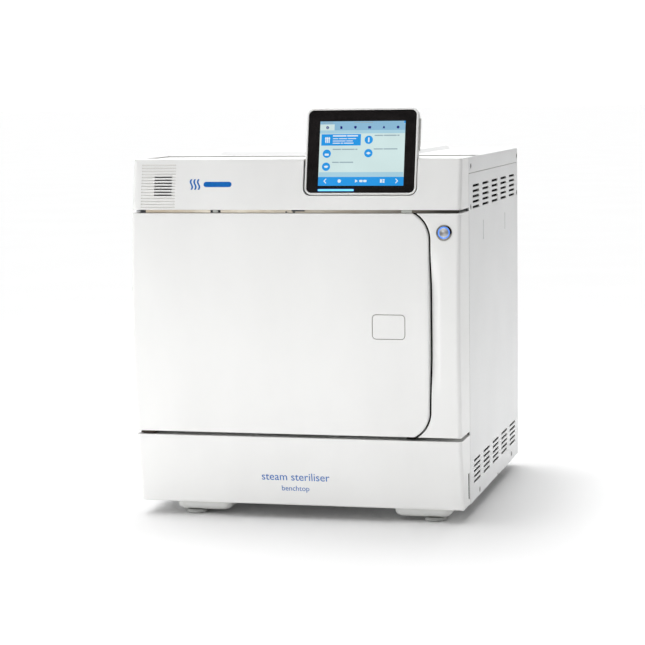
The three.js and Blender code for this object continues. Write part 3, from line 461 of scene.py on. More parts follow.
# Blackened steel made darker still: painted shade for the shade in the screws' countersunk holes and in the joint
# over the door.
STEEL_IN_PAINTED_SHADE = soot_black("blackened_steel_painted_shade", (0.045, 0.036, 0.03))
SHADOW_BLACK = soot_black("shadow_black", (0.006, 0.005, 0.005))
GUIDE_GREY = moulded("guide_grey", (0.4, 0.41, 0.38), 0.9, (0.5, 0.62))
SEAL_FOAM = gap_seal()
INK_BLUE = printed("ink_blue", (0.0, 0.125, 0.45))

# ---------------------------------------------------------------- outlines, anticlockwise

ARC_STEPS = 12


def arc(centre, radius, start, end, steps=ARC_STEPS):
    """Points on a circle between two angles, in degrees."""
    angles = [math.radians(start + (end - start) * i / steps) for i in range(steps + 1)]
    return [(centre[0] + radius * math.cos(a), centre[1] + radius * math.sin(a)) for a in angles]


def circle(centre, radius, steps=32):
    return arc(centre, radius, 0, 360, steps)[:-1]


def rounded_rect(left, right, low, high, corner, steps=ARC_STEPS):
    return [
        *arc((right - corner, low + corner), corner, -90, 0, steps),
        *arc((right - corner, high - corner), corner, 0, 90, steps),
        *arc((left + corner, high - corner), corner, 90, 180, steps),
        *arc((left + corner, low + corner), corner, 180, 270, steps),
    ]


def rectangle(left, right, low, high):
    return [(left, low), (right, low), (right, high), (left, high)]


def slot_outline(centre, length, height, steps=6):
    """A slot with round ends."""
    a, b = centre
    half = length / 2
    return rounded_rect(a - half, a + half, b - height / 2, b + height / 2, height / 2 - 1e-4, steps)


def door_outline(grow):
    """The door from the front: square at the hinge side. Its right-hand corners are arcs that end
    in a blunt angle at the top and bottom edges."""
    low, high = DOOR[0].z, DOOR[1].z
    radius = DOOR_CORNER + grow
    sweep = math.degrees(math.asin((DOOR_CORNER_HEIGHT + grow) / radius))
    centre_x = DOOR_RIGHT - DOOR_CORNER
    low_centre = low + DOOR_CORNER_HEIGHT
    high_centre = high - DOOR_CORNER_HEIGHT
    middle = (low + high) / 2
    reach = high_centre - middle
    edge = []
    for i in range(1, 16):
        share = i / 8 - 1
        edge.append((DOOR_RIGHT + grow + DOOR_BOW * (1 - share**2), middle + share * reach))
    return [
        (-HALF - grow, high + grow),
        (-HALF - grow, low - grow),
        *arc((centre_x, low_centre), radius, -sweep, 0),
        *edge,
        *arc((centre_x, high_centre), radius, 0, sweep),
    ]


# ---------------------------------------------------------------- mesh tools


def mesh_from(work, name="work"):
    """A mesh made from a bmesh, which is freed."""
    bmesh.ops.recalc_face_normals(work, faces=work.faces)
    mesh = bpy.data.meshes.new(name)
    work.to_mesh(mesh)
    work.free()
    return mesh


def prism(outline, near, far):
    """A closed prism: an outline of x and z filled from one depth to another."""
    work = bmesh.new()
    ring = [work.verts.new((a, near, b)) for a, b in outline]
    face = work.faces.new(ring)
    pushed = bmesh.ops.extrude_face_region(work, geom=[face])
    moved = [v for v in pushed["geom"] if isinstance(v, bmesh.types.BMVert)]
    bmesh.ops.translate(work, verts=moved, vec=(0, far - near, 0))
    return mesh_from(work)


def across(outline, left, right):
    """A closed prism: an outline of depth and z filled from one x to another."""
    mesh = prism(outline, -right, -left)
    mesh.transform(Matrix.Rotation(math.radians(90), 4, "Z"))
    return mesh


def upright(outline, low, high):
    """A closed prism: an outline of x and depth filled from one height to another."""
    mesh = prism(outline, -high, -low)
    mesh.transform(Matrix.Rotation(math.radians(-90), 4, "X"))
    return mesh


def block(low, high):
    return prism(rectangle(low[0], high[0], low[2], high[2]), low[1], high[1])


def evaluated(mesh, *modifiers):
    """The mesh after modifiers, each a type with its settings."""
    holder = bpy.data.objects.new("work", mesh)
    bpy.context.scene.collection.objects.link(holder)
    for kind, settings in modifiers:
        modifier = holder.modifiers.new(kind, kind)
        for key, value in settings.items():
            setattr(modifier, key, value)
    graph = bpy.context.evaluated_depsgraph_get()
    result = bpy.data.meshes.new_from_object(holder.evaluated_get(graph))
    bpy.data.objects.remove(holder)
    return result


def combine(mesh, tools, operation):
    """The mesh after one exact boolean with each tool."""
    for tool in tools:
        holder = bpy.data.objects.new("tool", tool)
        bpy.context.scene.collection.objects.link(holder)
        settings = {"operation": operation, "solver": "EXACT", "object": holder}
        mesh = evaluated(mesh, ("BOOLEAN", settings))
        bpy.data.objects.remove(holder)
    return mesh


def cut(mesh, *tools):
    return combine(mesh, tools, "DIFFERENCE")


def join(mesh, *others):
    return combine(mesh, others, "UNION")


def together(meshes):
    """Separate solids in one mesh."""
    work = bmesh.new()
    for mesh in meshes:
        work.from_mesh(mesh)
    return mesh_from(work)


def mouth(outline, radius, far, steps=4):
    """A cutter that rounds the rim of its hole at depth 0. outline gives the hole, grown by a
    number of millimetres."""
    levels = [(radius, -1)]
    for i in range(steps + 1):
        turn = math.pi / 2 * i / steps
        levels.append((radius * (1 - math.sin(turn)), radius * (1 - math.cos(turn))))
    levels.append((0, far))
    return lofted([[(x, depth, z) for x, z in outline(grow)] for grow, depth in levels])


SHARP = math.radians(32)
FLAT = math.radians(0.5)
WELD = 0.02


def rounded(mesh, radius, steps=3):
    """The mesh with its sharp edges rounded. radius is a number of millimetres, or a rule that gives
    it from an edge's middle and direction."""
    work = bmesh.new()
    work.from_mesh(mesh)
    bmesh.ops.remove_doubles(work, verts=work.verts, dist=WELD)
    bmesh.ops.dissolve_limit(work, angle_limit=FLAT, verts=work.verts, edges=work.edges)
    weight = work.edges.layers.float.new("bevel_weight_edge")
    rule = radius if callable(radius) else (lambda middle, direction: radius)
    for edge in work.edges:
        if edge.is_manifold and edge.calc_face_angle() > SHARP:
            first, second = (v.co for v in edge.verts)
            edge[weight] = rule((first + second) / 2, (second - first).normalized())
    widest = max(edge[weight] for edge in work.edges)
    for edge in work.edges:
        edge[weight] /= widest
    settings = {
        "width": widest,
        "segments": steps,
        "limit_method": "WEIGHT",
        "use_clamp_overlap": False,
        "loop_slide": False,
    }
    return evaluated(mesh_from(work), ("BEVEL", settings))


def bent(mesh, flat_from, step=8):
    """The flat mesh pushed back onto the barrelled front, less and less towards the depth flat_from."""
    work = bmesh.new()
    work.from_mesh(mesh)
    heights = [v.co.z for v in work.verts]
    count = math.ceil((max(heights) - min(heights)) / step)
    for i in range(1, count):
        z = min(heights) + (max(heights) - min(heights)) * i / count
        whole = [*work.verts, *work.edges, *work.faces]
        bmesh.ops.bisect_plane(work, geom=whole, plane_co=(0, 0, z), plane_no=(0, 0, 1), dist=1e-3)
    for vert in work.verts:
        share = min(1, max(0, 1 - vert.co.y / flat_from))
        vert.co.y += front_depth(vert.co.z) * share
    return mesh_from(work)


def turned(profile, centre, axis="y", segments=96):
    """A turned solid: profile holds radius and place along the axis, on the axis at both ends or
    closed on itself."""
    closed = profile[0] == profile[-1]
    points = profile[:-1] if closed else profile
    work = bmesh.new()
    rings = []
    for radius, along in points:
        if radius == 0:
            rings.append([work.verts.new((0, along, 0))] * segments)
            continue
        angles = [2 * math.pi * i / segments for i in range(segments)]
        rings.append([work.verts.new((radius * math.cos(a), along, radius * math.sin(a))) for a in angles])
    pairs = list(zip(rings, rings[1:] + rings[:1])) if closed else list(zip(rings, rings[1:]))
    for first, second in pairs:
        for i in range(segments):
            j = (i + 1) % segments
            corners = dict.fromkeys([first[i], first[j], second[j], second[i]])
            if len(corners) > 2:
                work.faces.new(list(corners))
    mesh = mesh_from(work)
    if axis == "z":
        mesh.transform(Matrix.Rotation(math.radians(90), 4, "X"))
        mesh.transform(Matrix.Translation((*centre, 0)))
    elif axis == "x":
        mesh.transform(Matrix.Rotation(math.radians(-90), 4, "Z"))
        mesh.transform(Matrix.Translation((0, *centre)))
    else:
        mesh.transform(Matrix.Translation((centre[0], 0, centre[1])))
    return mesh


def lofted(rings):
    """A closed solid through rings of as many points each, capped at both ends."""
    work = bmesh.new()
    levels = [[work.verts.new(point) for point in ring] for ring in rings]
    for first, second in zip(levels, levels[1:]):
        for i in range(len(first)):
            j = (i + 1) % len(first)
            work.faces.new([first[i], first[j], second[j], second[i]])
    work.faces.new(levels[0])
    work.faces.new(levels[-1])
    return mesh_from(work)


def punched(outline, holes, thick, edge=CRISP_EDGE):
    """A flat sheet with holes in the plane of x and z, its front at depth 0 and its rims rounded."""
    curve = bpy.data.curves.new("sheet", "CURVE")
    curve.dimensions = "2D"
    curve.fill_mode = "BOTH"
    curve.extrude = thick / 2 - edge
    curve.bevel_depth = edge
    curve.bevel_resolution = 1
    curve.offset = -edge
    for loop in [outline, *[hole[::-1] for hole in holes]]:
        spline = curve.splines.new("POLY")
        spline.points.add(len(loop) - 1)
        for point, (a, b) in zip(spline.points, loop):
            point.co = (a, b, 0, 1)
        spline.use_cyclic_u = True
    holder = bpy.data.objects.new("sheet", curve)
    bpy.context.scene.collection.objects.link(holder)
    graph = bpy.context.evaluated_depsgraph_get()
    flat = bpy.data.meshes.new_from_object(holder.evaluated_get(graph))
    bpy.data.objects.remove(holder)
    work = bmesh.new()
    work.from_mesh(flat)
    bmesh.ops.remove_doubles(work, verts=work.verts, dist=1e-3)
    mesh = mesh_from(work)
    mesh.transform(Matrix.Translation((0, thick / 2, 0)) @ Matrix.Rotation(math.radians(90), 4, "X"))
    return mesh


# ---------------------------------------------------------------- pieces

SLOT_OF = {row["node"]: row["material_slot"] for row in frame["record"]["subparts"]}


def smooth(obj):
    """Smooth shading whose big flat faces stay flat."""
    obj.data.polygons.foreach_set("use_smooth", [True] * len(obj.data.polygons))
    obj.data.set_sharp_from_angle(angle=math.radians(40))
    normals = obj.modifiers.new("normals", "WEIGHTED_NORMAL")
    normals.keep_sharp = True


def show(name, mesh, body, slot, finish=None, place=None):
    """A new piece on a body, finished as its slot says unless it has a finish of its own."""
    mesh.transform(MACHINE @ place if place else MACHINE)
    mesh.name = name
    mesh.materials.clear()
    mesh.materials.append(finish or FINISHES[slot])
    obj = bpy.data.objects.new(name, mesh)
    bpy.context.scene.collection.objects.link(obj)
    smooth(obj)
    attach(obj, body)
    return obj


def stand_in(node, mesh, finish=None, place=None):
    """A piece that stands for a CAD node, on its body, finished as its slot says unless it has a finish of its own.
    """
    body = frame["nodes"][node]["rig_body"]
    obj = show(node + "_shape", mesh, body, SLOT_OF[node], finish, place)
    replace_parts(obj, node)
    return obj


def soften(node, radius, steps=2, finish=None):
    """Rounds a CAD node's edges by modifiers alone and gives it its finish."""
    obj = frame["nodes"][node]
    weld = obj.modifiers.new("weld", "WELD")
    weld.merge_threshold = WELD * MM
    flatten = obj.modifiers.new("flatten", "DECIMATE")
    flatten.decimate_type = "DISSOLVE"
    flatten.angle_limit = FLAT
    edges = obj.modifiers.new("edges", "BEVEL")
    edges.width = radius * MM
    edges.segments = steps
    edges.limit_method = "ANGLE"
    edges.angle_limit = SHARP
    obj.data.polygons.foreach_set("use_smooth", [True] * len(obj.data.polygons))
    normals = obj.modifiers.new("normals", "WEIGHTED_NORMAL")
    normals.keep_sharp = False
    obj.data.materials.clear()
    obj.data.materials.append(finish or FINISHES[SLOT_OF[node]])


# ---------------------------------------------------------------- moulded front


def front_shell(low, high):
    """A moulded cover before it is bent: a front wall with four walls going back to the seam."""
    outer = block((low[0], 0, low[1]), (high[0], SEAM_DEPTH, high[1]))
    inner = block(
        (low[0] + WALL, WALL, low[1] + WALL), (high[0] - WALL, SEAM_DEPTH + 1, high[1] - WALL)
    )
    return cut(outer, inner)


def corner_rule(edge_radius):
    """Rounds the upright outer corners of the moulded front widely and every other edge finely."""

    def rule(middle, direction):
        at_corner = abs(abs(middle.x) - HALF) < 0.01 and abs(middle.y) < 0.01
        if at_corner and abs(direction.z) > 0.9:
            return CORNER
        return edge_radius

    return rule


GRILLE = {"left": -212.4, "right": -164.5, "top": 477.5, "pitch": 3.98, "rows": 15, "height": 1.6}
VENTS = {"left": -194.5, "right": -169.5, "first": 4, "last": 10, "height": 1.8}


LID_STEP = 1.3  # the lid's front edge stands this far above the hood's top plate


def row_of(field, z, near, far):
    """A round-ended bar across a grille field."""
    centre = ((field["left"] + field["right"]) / 2, z)
    outline = slot_outline(centre, field["right"] - field["left"], field["height"], 4)
    return prism(outline, near, far)


def hood():
    """The hood with its grille and the sloping cradle that the display stands in."""
    low, high = HOOD
    shell = front_shell((-HALF, low.z), (HALF, high.z))
    top = block(
        (-HALF + SHEET + 0.5, SEAM_DEPTH - 1, high.z - WALL - LID_STEP),
        (HALF - SHEET - 0.5, high.y, high.z - LID_STEP),
    )
    half = GLASS["width"] / 2 + DISPLAY_RIM + CRADLE_GAP
    foot = DISPLAY.translation.z - DISPLAY_RIM - CRADLE_GAP + 0.6
    centre = DISPLAY.translation.x
    cradle = prism(rounded_rect(centre - half, centre + half, foot, foot + 130, 10), -5, 46)
    cradle.transform(Matrix.Shear("XZ", 4, (0, -math.tan(LEAN))))
    grooves = []
    vents = []
    for row in range(GRILLE["rows"]):
        z = GRILLE["top"] - row * GRILLE["pitch"]
        grooves.append(row_of(GRILLE, z, -1, 0.9))
        if VENTS["first"] <= row <= VENTS["last"]:
            vents.append(row_of(VENTS, z, -1, WALL + 2))
    body = cut(join(shell, top), cradle, together(grooves), together(vents))

    def rule(middle, direction):
        in_grille = middle.x < GRILLE["right"] + 1 and middle.y < WALL + 0.1 and abs(middle.x) < HALF - 5
        if in_grille and low.z + 2 < middle.z < high.z - 2:
            return 0.25
        return corner_rule(0.9)(middle, direction)

    return bent(rounded(body, rule), SEAM_DEPTH)


def lower_panel():
    """The fixed panel under the door, with the mains switch's opening in its right side."""
    low, high = PANEL
    switch_low, switch_high = extent("mains_switch_frame")
    gap = 0.3
    opening = block(
        (HALF - WALL - 1, switch_low.y - gap, switch_low.z - gap),
        (HALF + 1, switch_high.y + gap, switch_high.z + gap),
    )
    shell = front_shell((-HALF, low.z), (HALF, high.z))

    def rule(middle, direction):
        if middle.z < low.z + 0.01 and middle.y < SEAM_DEPTH - 0.01:
            return 2.6
        return corner_rule(1.1)(middle, direction)

    return bent(cut(rounded(shell, rule), opening), SEAM_DEPTH)


DISH = {"right": 200, "width": 14, "middle": 266, "half": 105, "ends": 1.6, "depth": 8}
LOCK = {"depth": 30, "z": 266, "radius": 5}


def ease(share):
    """A smooth step from 0 to 1."""
    share = min(1, max(0, share))
    return share * share * (3 - 2 * share)


def dished(mesh):
    """The front pressed in beside the door, where fingers pull the door open."""
    work = bmesh.new()
    work.from_mesh(mesh)
    left = DISH["right"] - DISH["width"]
    slices = 12
    for i in range(slices + 1):
        x = left + DISH["width"] * i / slices
        whole = [*work.verts, *work.edges, *work.faces]
        bmesh.ops.bisect_plane(work, geom=whole, plane_co=(x, 0, 0), plane_no=(1, 0, 0), dist=1e-3)
    for vert in work.verts:
        beside = ease((DISH["right"] - vert.co.x) / DISH["width"])
        along = ease(DISH["ends"] * (1 - abs(vert.co.z - DISH["middle"]) / DISH["half"]))
        forward = min(1, max(0, 1 - (vert.co.y - front_depth(vert.co.z)) / SEAM_DEPTH))
        vert.co.y += DISH["depth"] * beside * along * forward
    return mesh_from(work)


def column():
    """The strip right of the door."""
    low, high = COLUMN
    wall_left = DOOR_RIGHT + DOOR_GAP + 5
    outer = cut(
        block((150, 0, low.z), (HALF, SEAM_DEPTH, high.z)),
        prism(door_outline(DOOR_GAP), -5, SEAM_DEPTH + 5),
    )
    hollow = block(
        (wall_left, WALL, low.z + WALL), (HALF - WALL, SEAM_DEPTH + 1, high.z - WALL)
    )
    behind = block(
        (140, DOOR_SKIRT, low.z - 10), (DOOR_RIGHT + DOOR_GAP, SEAM_DEPTH + 1, high.z + 10)
    )

    def rule(middle, direction):
        by_door = middle.x < DOOR_RIGHT + DOOR_GAP + 4 and middle.y < 1
        if by_door and low.z + 1 < middle.z < high.z - 1:
            return 1.6
        return corner_rule(0.9)(middle, direction)

    solid = rounded(cut(outer, hollow, behind), rule)
    bolt_hole = across(circle((LOCK["depth"], LOCK["z"]), LOCK["radius"] + 0.6), 180, 200)
    button_hole = prism(circle((BUTTON_X, BUTTON_Z), 9.2, 48), -5, 20)
    return dished(bent(cut(solid, bolt_hole, button_hole), SEAM_DEPTH))


def pad_outline(grow):
    low, high = extent("door_push_pad")
    return rounded_rect(low.x - grow, high.x + grow, low.z - grow, high.z + grow, 5 + grow)


def door():
    """The door's moulded shell, open behind, with its long outer side that hides the hinges."""
    low, high = DOOR
    pin_x, pin_y = -210, 24
    side = block((-HALF, DOOR_SKIRT - 1, low.z), (-HALF + WALL, high.y, high.z))
    shell = cut(
        prism(door_outline(0), 0, DOOR_SKIRT), prism(door_outline(-WALL), WALL, DOOR_SKIRT + 1)
    )
    holes = [
        upright(circle((pin_x, pin_y), 4.5), low.z - 10, high.z + 10),
        across(circle((LOCK["depth"], LOCK["z"]), LOCK["radius"] + 1.2), 170, 200),
        mouth(lambda grow: pad_outline(0.55 + grow), 0.5, 15),
    ]

    def rule(middle, direction):
        at_front = abs(middle.y) < 0.01
        if at_front and middle.x > DOOR_RIGHT - DOOR_CORNER - 1:
            return 3
        if at_front and middle.x < -HALF + 0.01:
            return CORNER
        return 1.2 if at_front else 0.6

    return bent(cut(rounded(join(shell, side), rule), *holes), DOOR_SKIRT)


def push_pad():
    low, high = extent("door_push_pad")
    return bent(rounded(prism(pad_outline(0), 0, high.y), 0.7), high.y)


def gap_liner(inner, outer):
    """A thin strip of painted shade along the gap at the door's right side, as deep as the column's dish."""
    front, back = 3.4, 14
    ring = cut(
        prism(door_outline(outer), front, back), prism(door_outline(inner), front - 1, back + 1)
    )
    left_part = block((-HALF - 5, 0, 0), (150, SEAM_DEPTH, 500))
    return dished(bent(cut(ring, left_part), DOOR_SKIRT))


stand_in("hood", hood())
stand_in("lower_front_panel", lower_panel())
stand_in("front_column", column())
stand_in("door_shell", door())
stand_in("door_push_pad", push_pad())
# painted shade: near-black strips on both walls of the gap beside the door
show("door_gap_shade", gap_liner(0.03, 0.5), "door", "rubber", SHADOW_BLACK)
show("column_gap_shade", gap_liner(1.8, 2.27), "cabinet", "rubber", SHADOW_BLACK)

# ---------------------------------------------------------------- sheet-metal cabinet


def mirrored(mesh):
    """The same sheet for the left side."""
    other = mesh.copy()
    other.transform(Matrix.Scale(-1, 4, (1, 0, 0)))
    other.flip_normals()
    return other


SLOTS = {"length": 51, "height": 3.2, "first": 128.5, "pitch": 77.6, "drop": 7.15, "count": 5}
SLOT_TOPS = (445.5, 72.5)
SIDE_SCREWS = [(88.6, 418.4), (489, 418.4), (149, 25.5), (428.5, 28.3)]
LID_SCREWS = [(89, 472.8), (488, 472.8)]
SCREW_HOLE = 3.9
SEAM_MARKS = [(187, 368, 395), (374.5, 370, 394.5)]  # slits over the tabs of an inner frame
HOOK_NOTCH = (298, 308, 3)


def side_panel():
    """The right side sheet with its fields of slots, countersunk screw holes and a notch below."""
    low, high = SIDE
    holes = []
    for top in SLOT_TOPS:
        for row in range(SLOTS["count"]):
            for column in range(SLOTS["count"]):
                centre = (SLOTS["first"] + column * SLOTS["pitch"], top - row * SLOTS["drop"])
                holes.append(slot_outline(centre, SLOTS["length"], SLOTS["height"]))
    holes += [circle(spot, SCREW_HOLE) for spot in SIDE_SCREWS]
    for depth, bottom, top in SEAM_MARKS:
        holes.append(rounded_rect(depth - 1.5, depth + 1.5, bottom, top, 1.2, 3))
    left, right, rise = HOOK_NOTCH
    outline = [
        (low.y, low.z),
        (left, low.z),
        (left, low.z + rise),
        (right, low.z + rise),
        (right, low.z),
        (high.y, low.z),
        (high.y, high.z),
        (low.y, high.z),
    ]
    sheet = punched(outline, holes, SHEET)
    sheet.transform(Matrix.Translation((HALF, 0, 0)) @ Matrix.Rotation(math.radians(90), 4, "Z"))
    return sheet


def vent_screens():
    """Thin sheets of painted shade behind both fields of slots in each side panel, standing for the shade inside the
    cabinet.
    """
    fields = []
    for top in SLOT_TOPS:
        bottom = top - SLOTS["count"] * SLOTS["drop"]
        low = (HALF - SHEET - 0.4, SLOTS["first"] - 30, bottom)
        fields.append(block(low, (HALF - SHEET - 0.1, CABINET_BACK - 5, top + 5)))
    shade_sheets = together(fields)
    show("vent_screen_left", mirrored(shade_sheets), "cabinet", "rubber", SHADOW_BLACK)
    show("vent_screen_right", shade_sheets, "cabinet", "rubber", SHADOW_BLACK)


LID_FIELD = {"x": (-162, 128), "y": (186, 480), "slope": 6, "corner": 12}


def lid():
    """The folded lid: a sheet pressed up into a raised field, with a flange down each side and the
    rear. In front of the field the sheet is cut away for the hood."""
    low, high = extent("lid")
    hood_back = HOOD[1].y
    top = HOOD[1].z
    fold = 1.8
    (left, right), (front, back) = LID_FIELD["x"], LID_FIELD["y"]

    def field(inset, height):
        corner = LID_FIELD["corner"] - inset / 2
        outline = rounded_rect(left + inset, right - inset, front + inset, back - inset, corner)
        return [(a, b, height) for a, b in outline]

    def rim(inset, height):
        outline = rounded_rect(
            -HALF + inset, HALF - inset, low.y + inset, high.y - inset, max(0.3, fold - inset)
        )
        return [(a, b, height) for a, b in outline]

    slope = LID_FIELD["slope"]
    rise = high.z - top
    rings = [
        field(slope + 2, high.z),
        field(slope + 0.6, high.z - 0.15),
        field(slope - 0.6, high.z - 0.9),
        field(0.8, top + 0.8),
        field(-0.5, top + 0.12),
        field(-1.8, top),
        rim(fold, top),
        *[
            rim(fold * (1 - math.sin(turn)), top - fold * (1 - math.cos(turn)))
            for turn in (math.pi / 8, math.pi / 4, 3 * math.pi / 8, math.pi / 2)
        ],
        rim(0, low.z),
        rim(SHEET, low.z),
        rim(SHEET, top - SHEET),
        field(0, top - SHEET),
        field(slope + 1, top + rise - SHEET),
    ]
    hood_space = block(
        (-HALF + SHEET, low.y - 1, low.z - 1), (HALF - SHEET, hood_back + TOUCH, high.z + 1)
    )
    holes = [across(circle(spot, SCREW_HOLE), -HALF - 1, HALF + 1) for spot in LID_SCREWS]
    return cut(lofted(rings), hood_space, *holes)


REAR = extent("rear_panel")
FAN = {"x": -30, "z": 75}
PORTS = {"safety": (-60, 432), "drain": (-160, 52), "feed": (-120, 52)}
MAINS = (165, 60)
DATA = (165, 112)
REAR_SCREWS = [(x, z) for x in (-212, 212) for z in (34, 240, 450)]


def rear_panel():
    """The rear sheet: fan grille, hose ports, mains inlet, data port and screw holes."""
    low, high = REAR
    holes = []
    radius, pitch = 42, 8
    for step in range(-5, 6):
        half = math.sqrt(radius**2 - (step * pitch * 0.95) ** 2)
        holes.append(slot_outline((FAN["x"], FAN["z"] + step * pitch), 2 * half, 4.5))
    holes += [circle(port, 9.8) for port in PORTS.values()]
    holes += [circle(spot, SCREW_HOLE) for spot in REAR_SCREWS]
    holes.append(rounded_rect(MAINS[0] - 16.5, MAINS[0] + 16.5, MAINS[1] - 11.5, MAINS[1] + 11.5, 1, 3))
    holes.append(rounded_rect(DATA[0] - 8.5, DATA[0] + 8.5, DATA[1] - 7.5, DATA[1] + 7.5, 1, 3))
    sheet = punched(rectangle(low.x, high.x, low.z, high.z), holes, SHEET)
    sheet.transform(Matrix.Translation((0, low.y, 0)))
    return sheet


FACING = {
    "front": Matrix.Identity(4),
    "right": Matrix.Rotation(math.radians(90), 4, "Z"),
    "left": Matrix.Rotation(math.radians(-90), 4, "Z"),
    "rear": Matrix.Rotation(math.radians(180), 4, "Z"),
}


def screw_head():
    """A flush screw with a six-lobed recess, its face at depth 0."""
    head = turned([(0, 0.6), (2.9, 0.6), (3.6, 1), (3.6, 1.95), (0, 1.95)], (0, 0), segments=32)
    lobes = []
    for i in range(48):
        angle = 2 * math.pi * i / 48
        radius = 1.45 + 0.25 * math.cos(6 * angle)
        lobes.append((radius * math.cos(angle), radius * math.sin(angle)))
    return rounded(cut(head, prism(lobes, -1, 1.3)), 0.12, 1)


def screws(name, spots, facing, body="cabinet"):
    """Screw heads at points in machine space, as one piece."""
    head = screw_head()
    placed = []
    for spot in spots:
        copy = head.copy()
        copy.transform(Matrix.Translation(spot) @ FACING[facing])
        placed.append(copy)
    # the heads take the near-black that paints the shade of their holes
    show(name, together(placed), body, "brushed_steel", STEEL_IN_PAINTED_SHADE)


def rating_plate():
    """A blank plate on the rear, held by two rivets."""
    plate = rounded(prism(rounded_rect(40, 120, 210, 255, 3), CABINET_BACK, CABINET_BACK + 0.7), 0.3, 2)
    rivets = []
    for x in (44.5, 115.5):
        dome = [(0, CABINET_BACK + 1.6), (1, CABINET_BACK + 1.5), (1.9, CABINET_BACK + 0.7), (0, CABINET_BACK + 0.7)]
        rivets.append(turned(dome, (x, 232.5), segments=24))
    show("blank_rating_plate", together([plate, *rivets]), "cabinet", "aluminium")


right_side = side_panel()
stand_in("side_panel_left", mirrored(right_side))
stand_in("side_panel_right", right_side)
vent_screens()
stand_in("lid", lid())
stand_in("rear_panel", rear_panel())
for side, x in (("right", HALF), ("left", -HALF)):
    spots = [(x, depth, z) for depth, z in [*SIDE_SCREWS, *LID_SCREWS]]
    screws(f"cover_screws_{side}", spots, side)
screws("rear_screws", [(x, CABINET_BACK, z) for x, z in REAR_SCREWS], "rear")
rating_plate()

# ---------------------------------------------------------------- feet


def foot_block(node):
    """A moulded foot, its lower edge rounded over in a quarter ellipse, bored for the screw foot."""
    low, high = extent(node)
    curve_height, inset, steps = 8, 9, 8
    rings = []
    for i in range(steps + 1):
        angle = math.pi / 2 * i / steps
        height = low.z + curve_height * (1 - math.cos(angle))
        shrink = inset * (1 - math.sin(angle))
        outline = rounded_rect(
            low.x + shrink, high.x - shrink, low.y + shrink, high.y - shrink, 11 - shrink / 2, 6
        )
        rings.append([(a, b, height) for a, b in outline])
    rings.append([(a, b, high.z) for a, b, _ in rings[-1]])
    foot_low, foot_high = extent(node.replace("foot_block", "levelling_foot"))
    centre = ((foot_low.x + foot_high.x) / 2, (foot_low.y + foot_high.y) / 2)
    bore = upright(circle(centre, 4.4), 0, 30)
    return rounded(cut(lofted(rings), bore), 0.4, 2)


def levelling_foot(node):
    low, high = extent(node)
    profile = [
        (0, 0),
        (12.4, 0),
        (13.5, 0.7),
        (14, 1.8),
        (14, 3.6),
        (13.4, 4.2),
        (13.4, 4.8),
        (13, 5.2),
        (5, 5.2),
        (4, 5.8),
        (4, high.z),
        (0, high.z),
    ]
    return turned(profile, ((low.x + high.x) / 2, (low.y + high.y) / 2), "z", 48)


def rear_foot(node):
    low, high = extent(node)
    profile = [(0, 0), (12.4, 0), (13.6, 0.9), (15.6, 14), (16, 15), (16, high.z), (0, high.z)]
    return turned(profile, ((low.x + high.x) / 2, (low.y + high.y) / 2), "z", 48)


for side in ("left", "right"):
    for make in (foot_block, levelling_foot, rear_foot):
        node = f"{make.__name__}_{side}"
        stand_in(node, make(node))

# ---------------------------------------------------------------- display

HOUSING_HALF = GLASS["width"] / 2 + DISPLAY_RIM
LIGHT_BAR = {"x": (-57, -8.3), "z": (2.2, 4.8)}
CARD = {"z": (57, 99.8), "y": (5, 8.3), "length": 36.4}


def glass_outline(grow):
    half = GLASS["width"] / 2 + grow
    return rounded_rect(-half, half, -grow, GLASS["height"] + grow, GLASS["corner"] + grow)


def quarter(grow, depth, radius, start, steps=5):
    """A quarter arc of growth and depth round a centre, starting at an angle in degrees."""
    angles = [math.radians(start + 90 * i / steps) for i in range(steps + 1)]
    return [(grow + radius * math.cos(a), depth + radius * math.sin(a)) for a in angles]


def display_housing():
    """The white front housing, rebated for the glass, with the card slot in its right side."""
    front, back = -0.6, DISPLAY_DEPTH
    rebate, front_edge, back_edge, lip, clear = GLASS["thick"] + TOUCH, 1.3, 3.5, 0.3, 0.4
    profile = [
        (TOUCH, rebate),
        (TOUCH, front + lip),
        (TOUCH + lip, front),
        *quarter(DISPLAY_RIM - front_edge, front + front_edge, front_edge, -90),
        *quarter(DISPLAY_RIM - back_edge, back - back_edge, back_edge, 0),
    ]
    rings = [[(x, depth, z) for x, z in glass_outline(grow)] for grow, depth in profile]
    slot = block(
        (HOUSING_HALF - CARD["length"], CARD["y"][0] - clear, CARD["z"][0] - clear),
        (HOUSING_HALF + 1, CARD["y"][1] + clear, CARD["z"][1] + clear),
    )
    return cut(lofted(rings), slot)


def display_rear():
    low_edge, high_edge, inset = 4, GLASS["height"] - 4, 4
    half = GLASS["width"] / 2 - inset
    front = DISPLAY_DEPTH + TOUCH
    back = DISPLAY_DEPTH + 11
    body = prism(rounded_rect(-half, half, low_edge, high_edge, 8), front, back)
    return rounded(body, lambda middle, direction: 5 if middle.y > back - 0.01 else 0.5, 4)


def display_glass():
    window = block(
        (LIGHT_BAR["x"][0] - TOUCH, -1, LIGHT_BAR["z"][0] - TOUCH),
        (LIGHT_BAR["x"][1] + TOUCH, GLASS["thick"] + 1, LIGHT_BAR["z"][1] + TOUCH),
    )
    pane = cut(prism(glass_outline(0), 0, GLASS["thick"]), window)
    return rounded(pane, lambda middle, direction: 0.35 if middle.z < 1 or middle.z > 6 else 0.08, 2)


def light_bar():
    left, right = LIGHT_BAR["x"]
    low, high = LIGHT_BAR["z"]
    return rounded(prism(rounded_rect(left, right, low, high, 1.1), -0.1, GLASS["thick"]), 0.1, 1)


stand_in("display_housing", display_housing(), place=DISPLAY)
stand_in("display_rear_shell", display_rear(), place=DISPLAY)
stand_in("display_glass", display_glass(), place=DISPLAY)
stand_in("status_light_bar", light_bar(), place=DISPLAY)

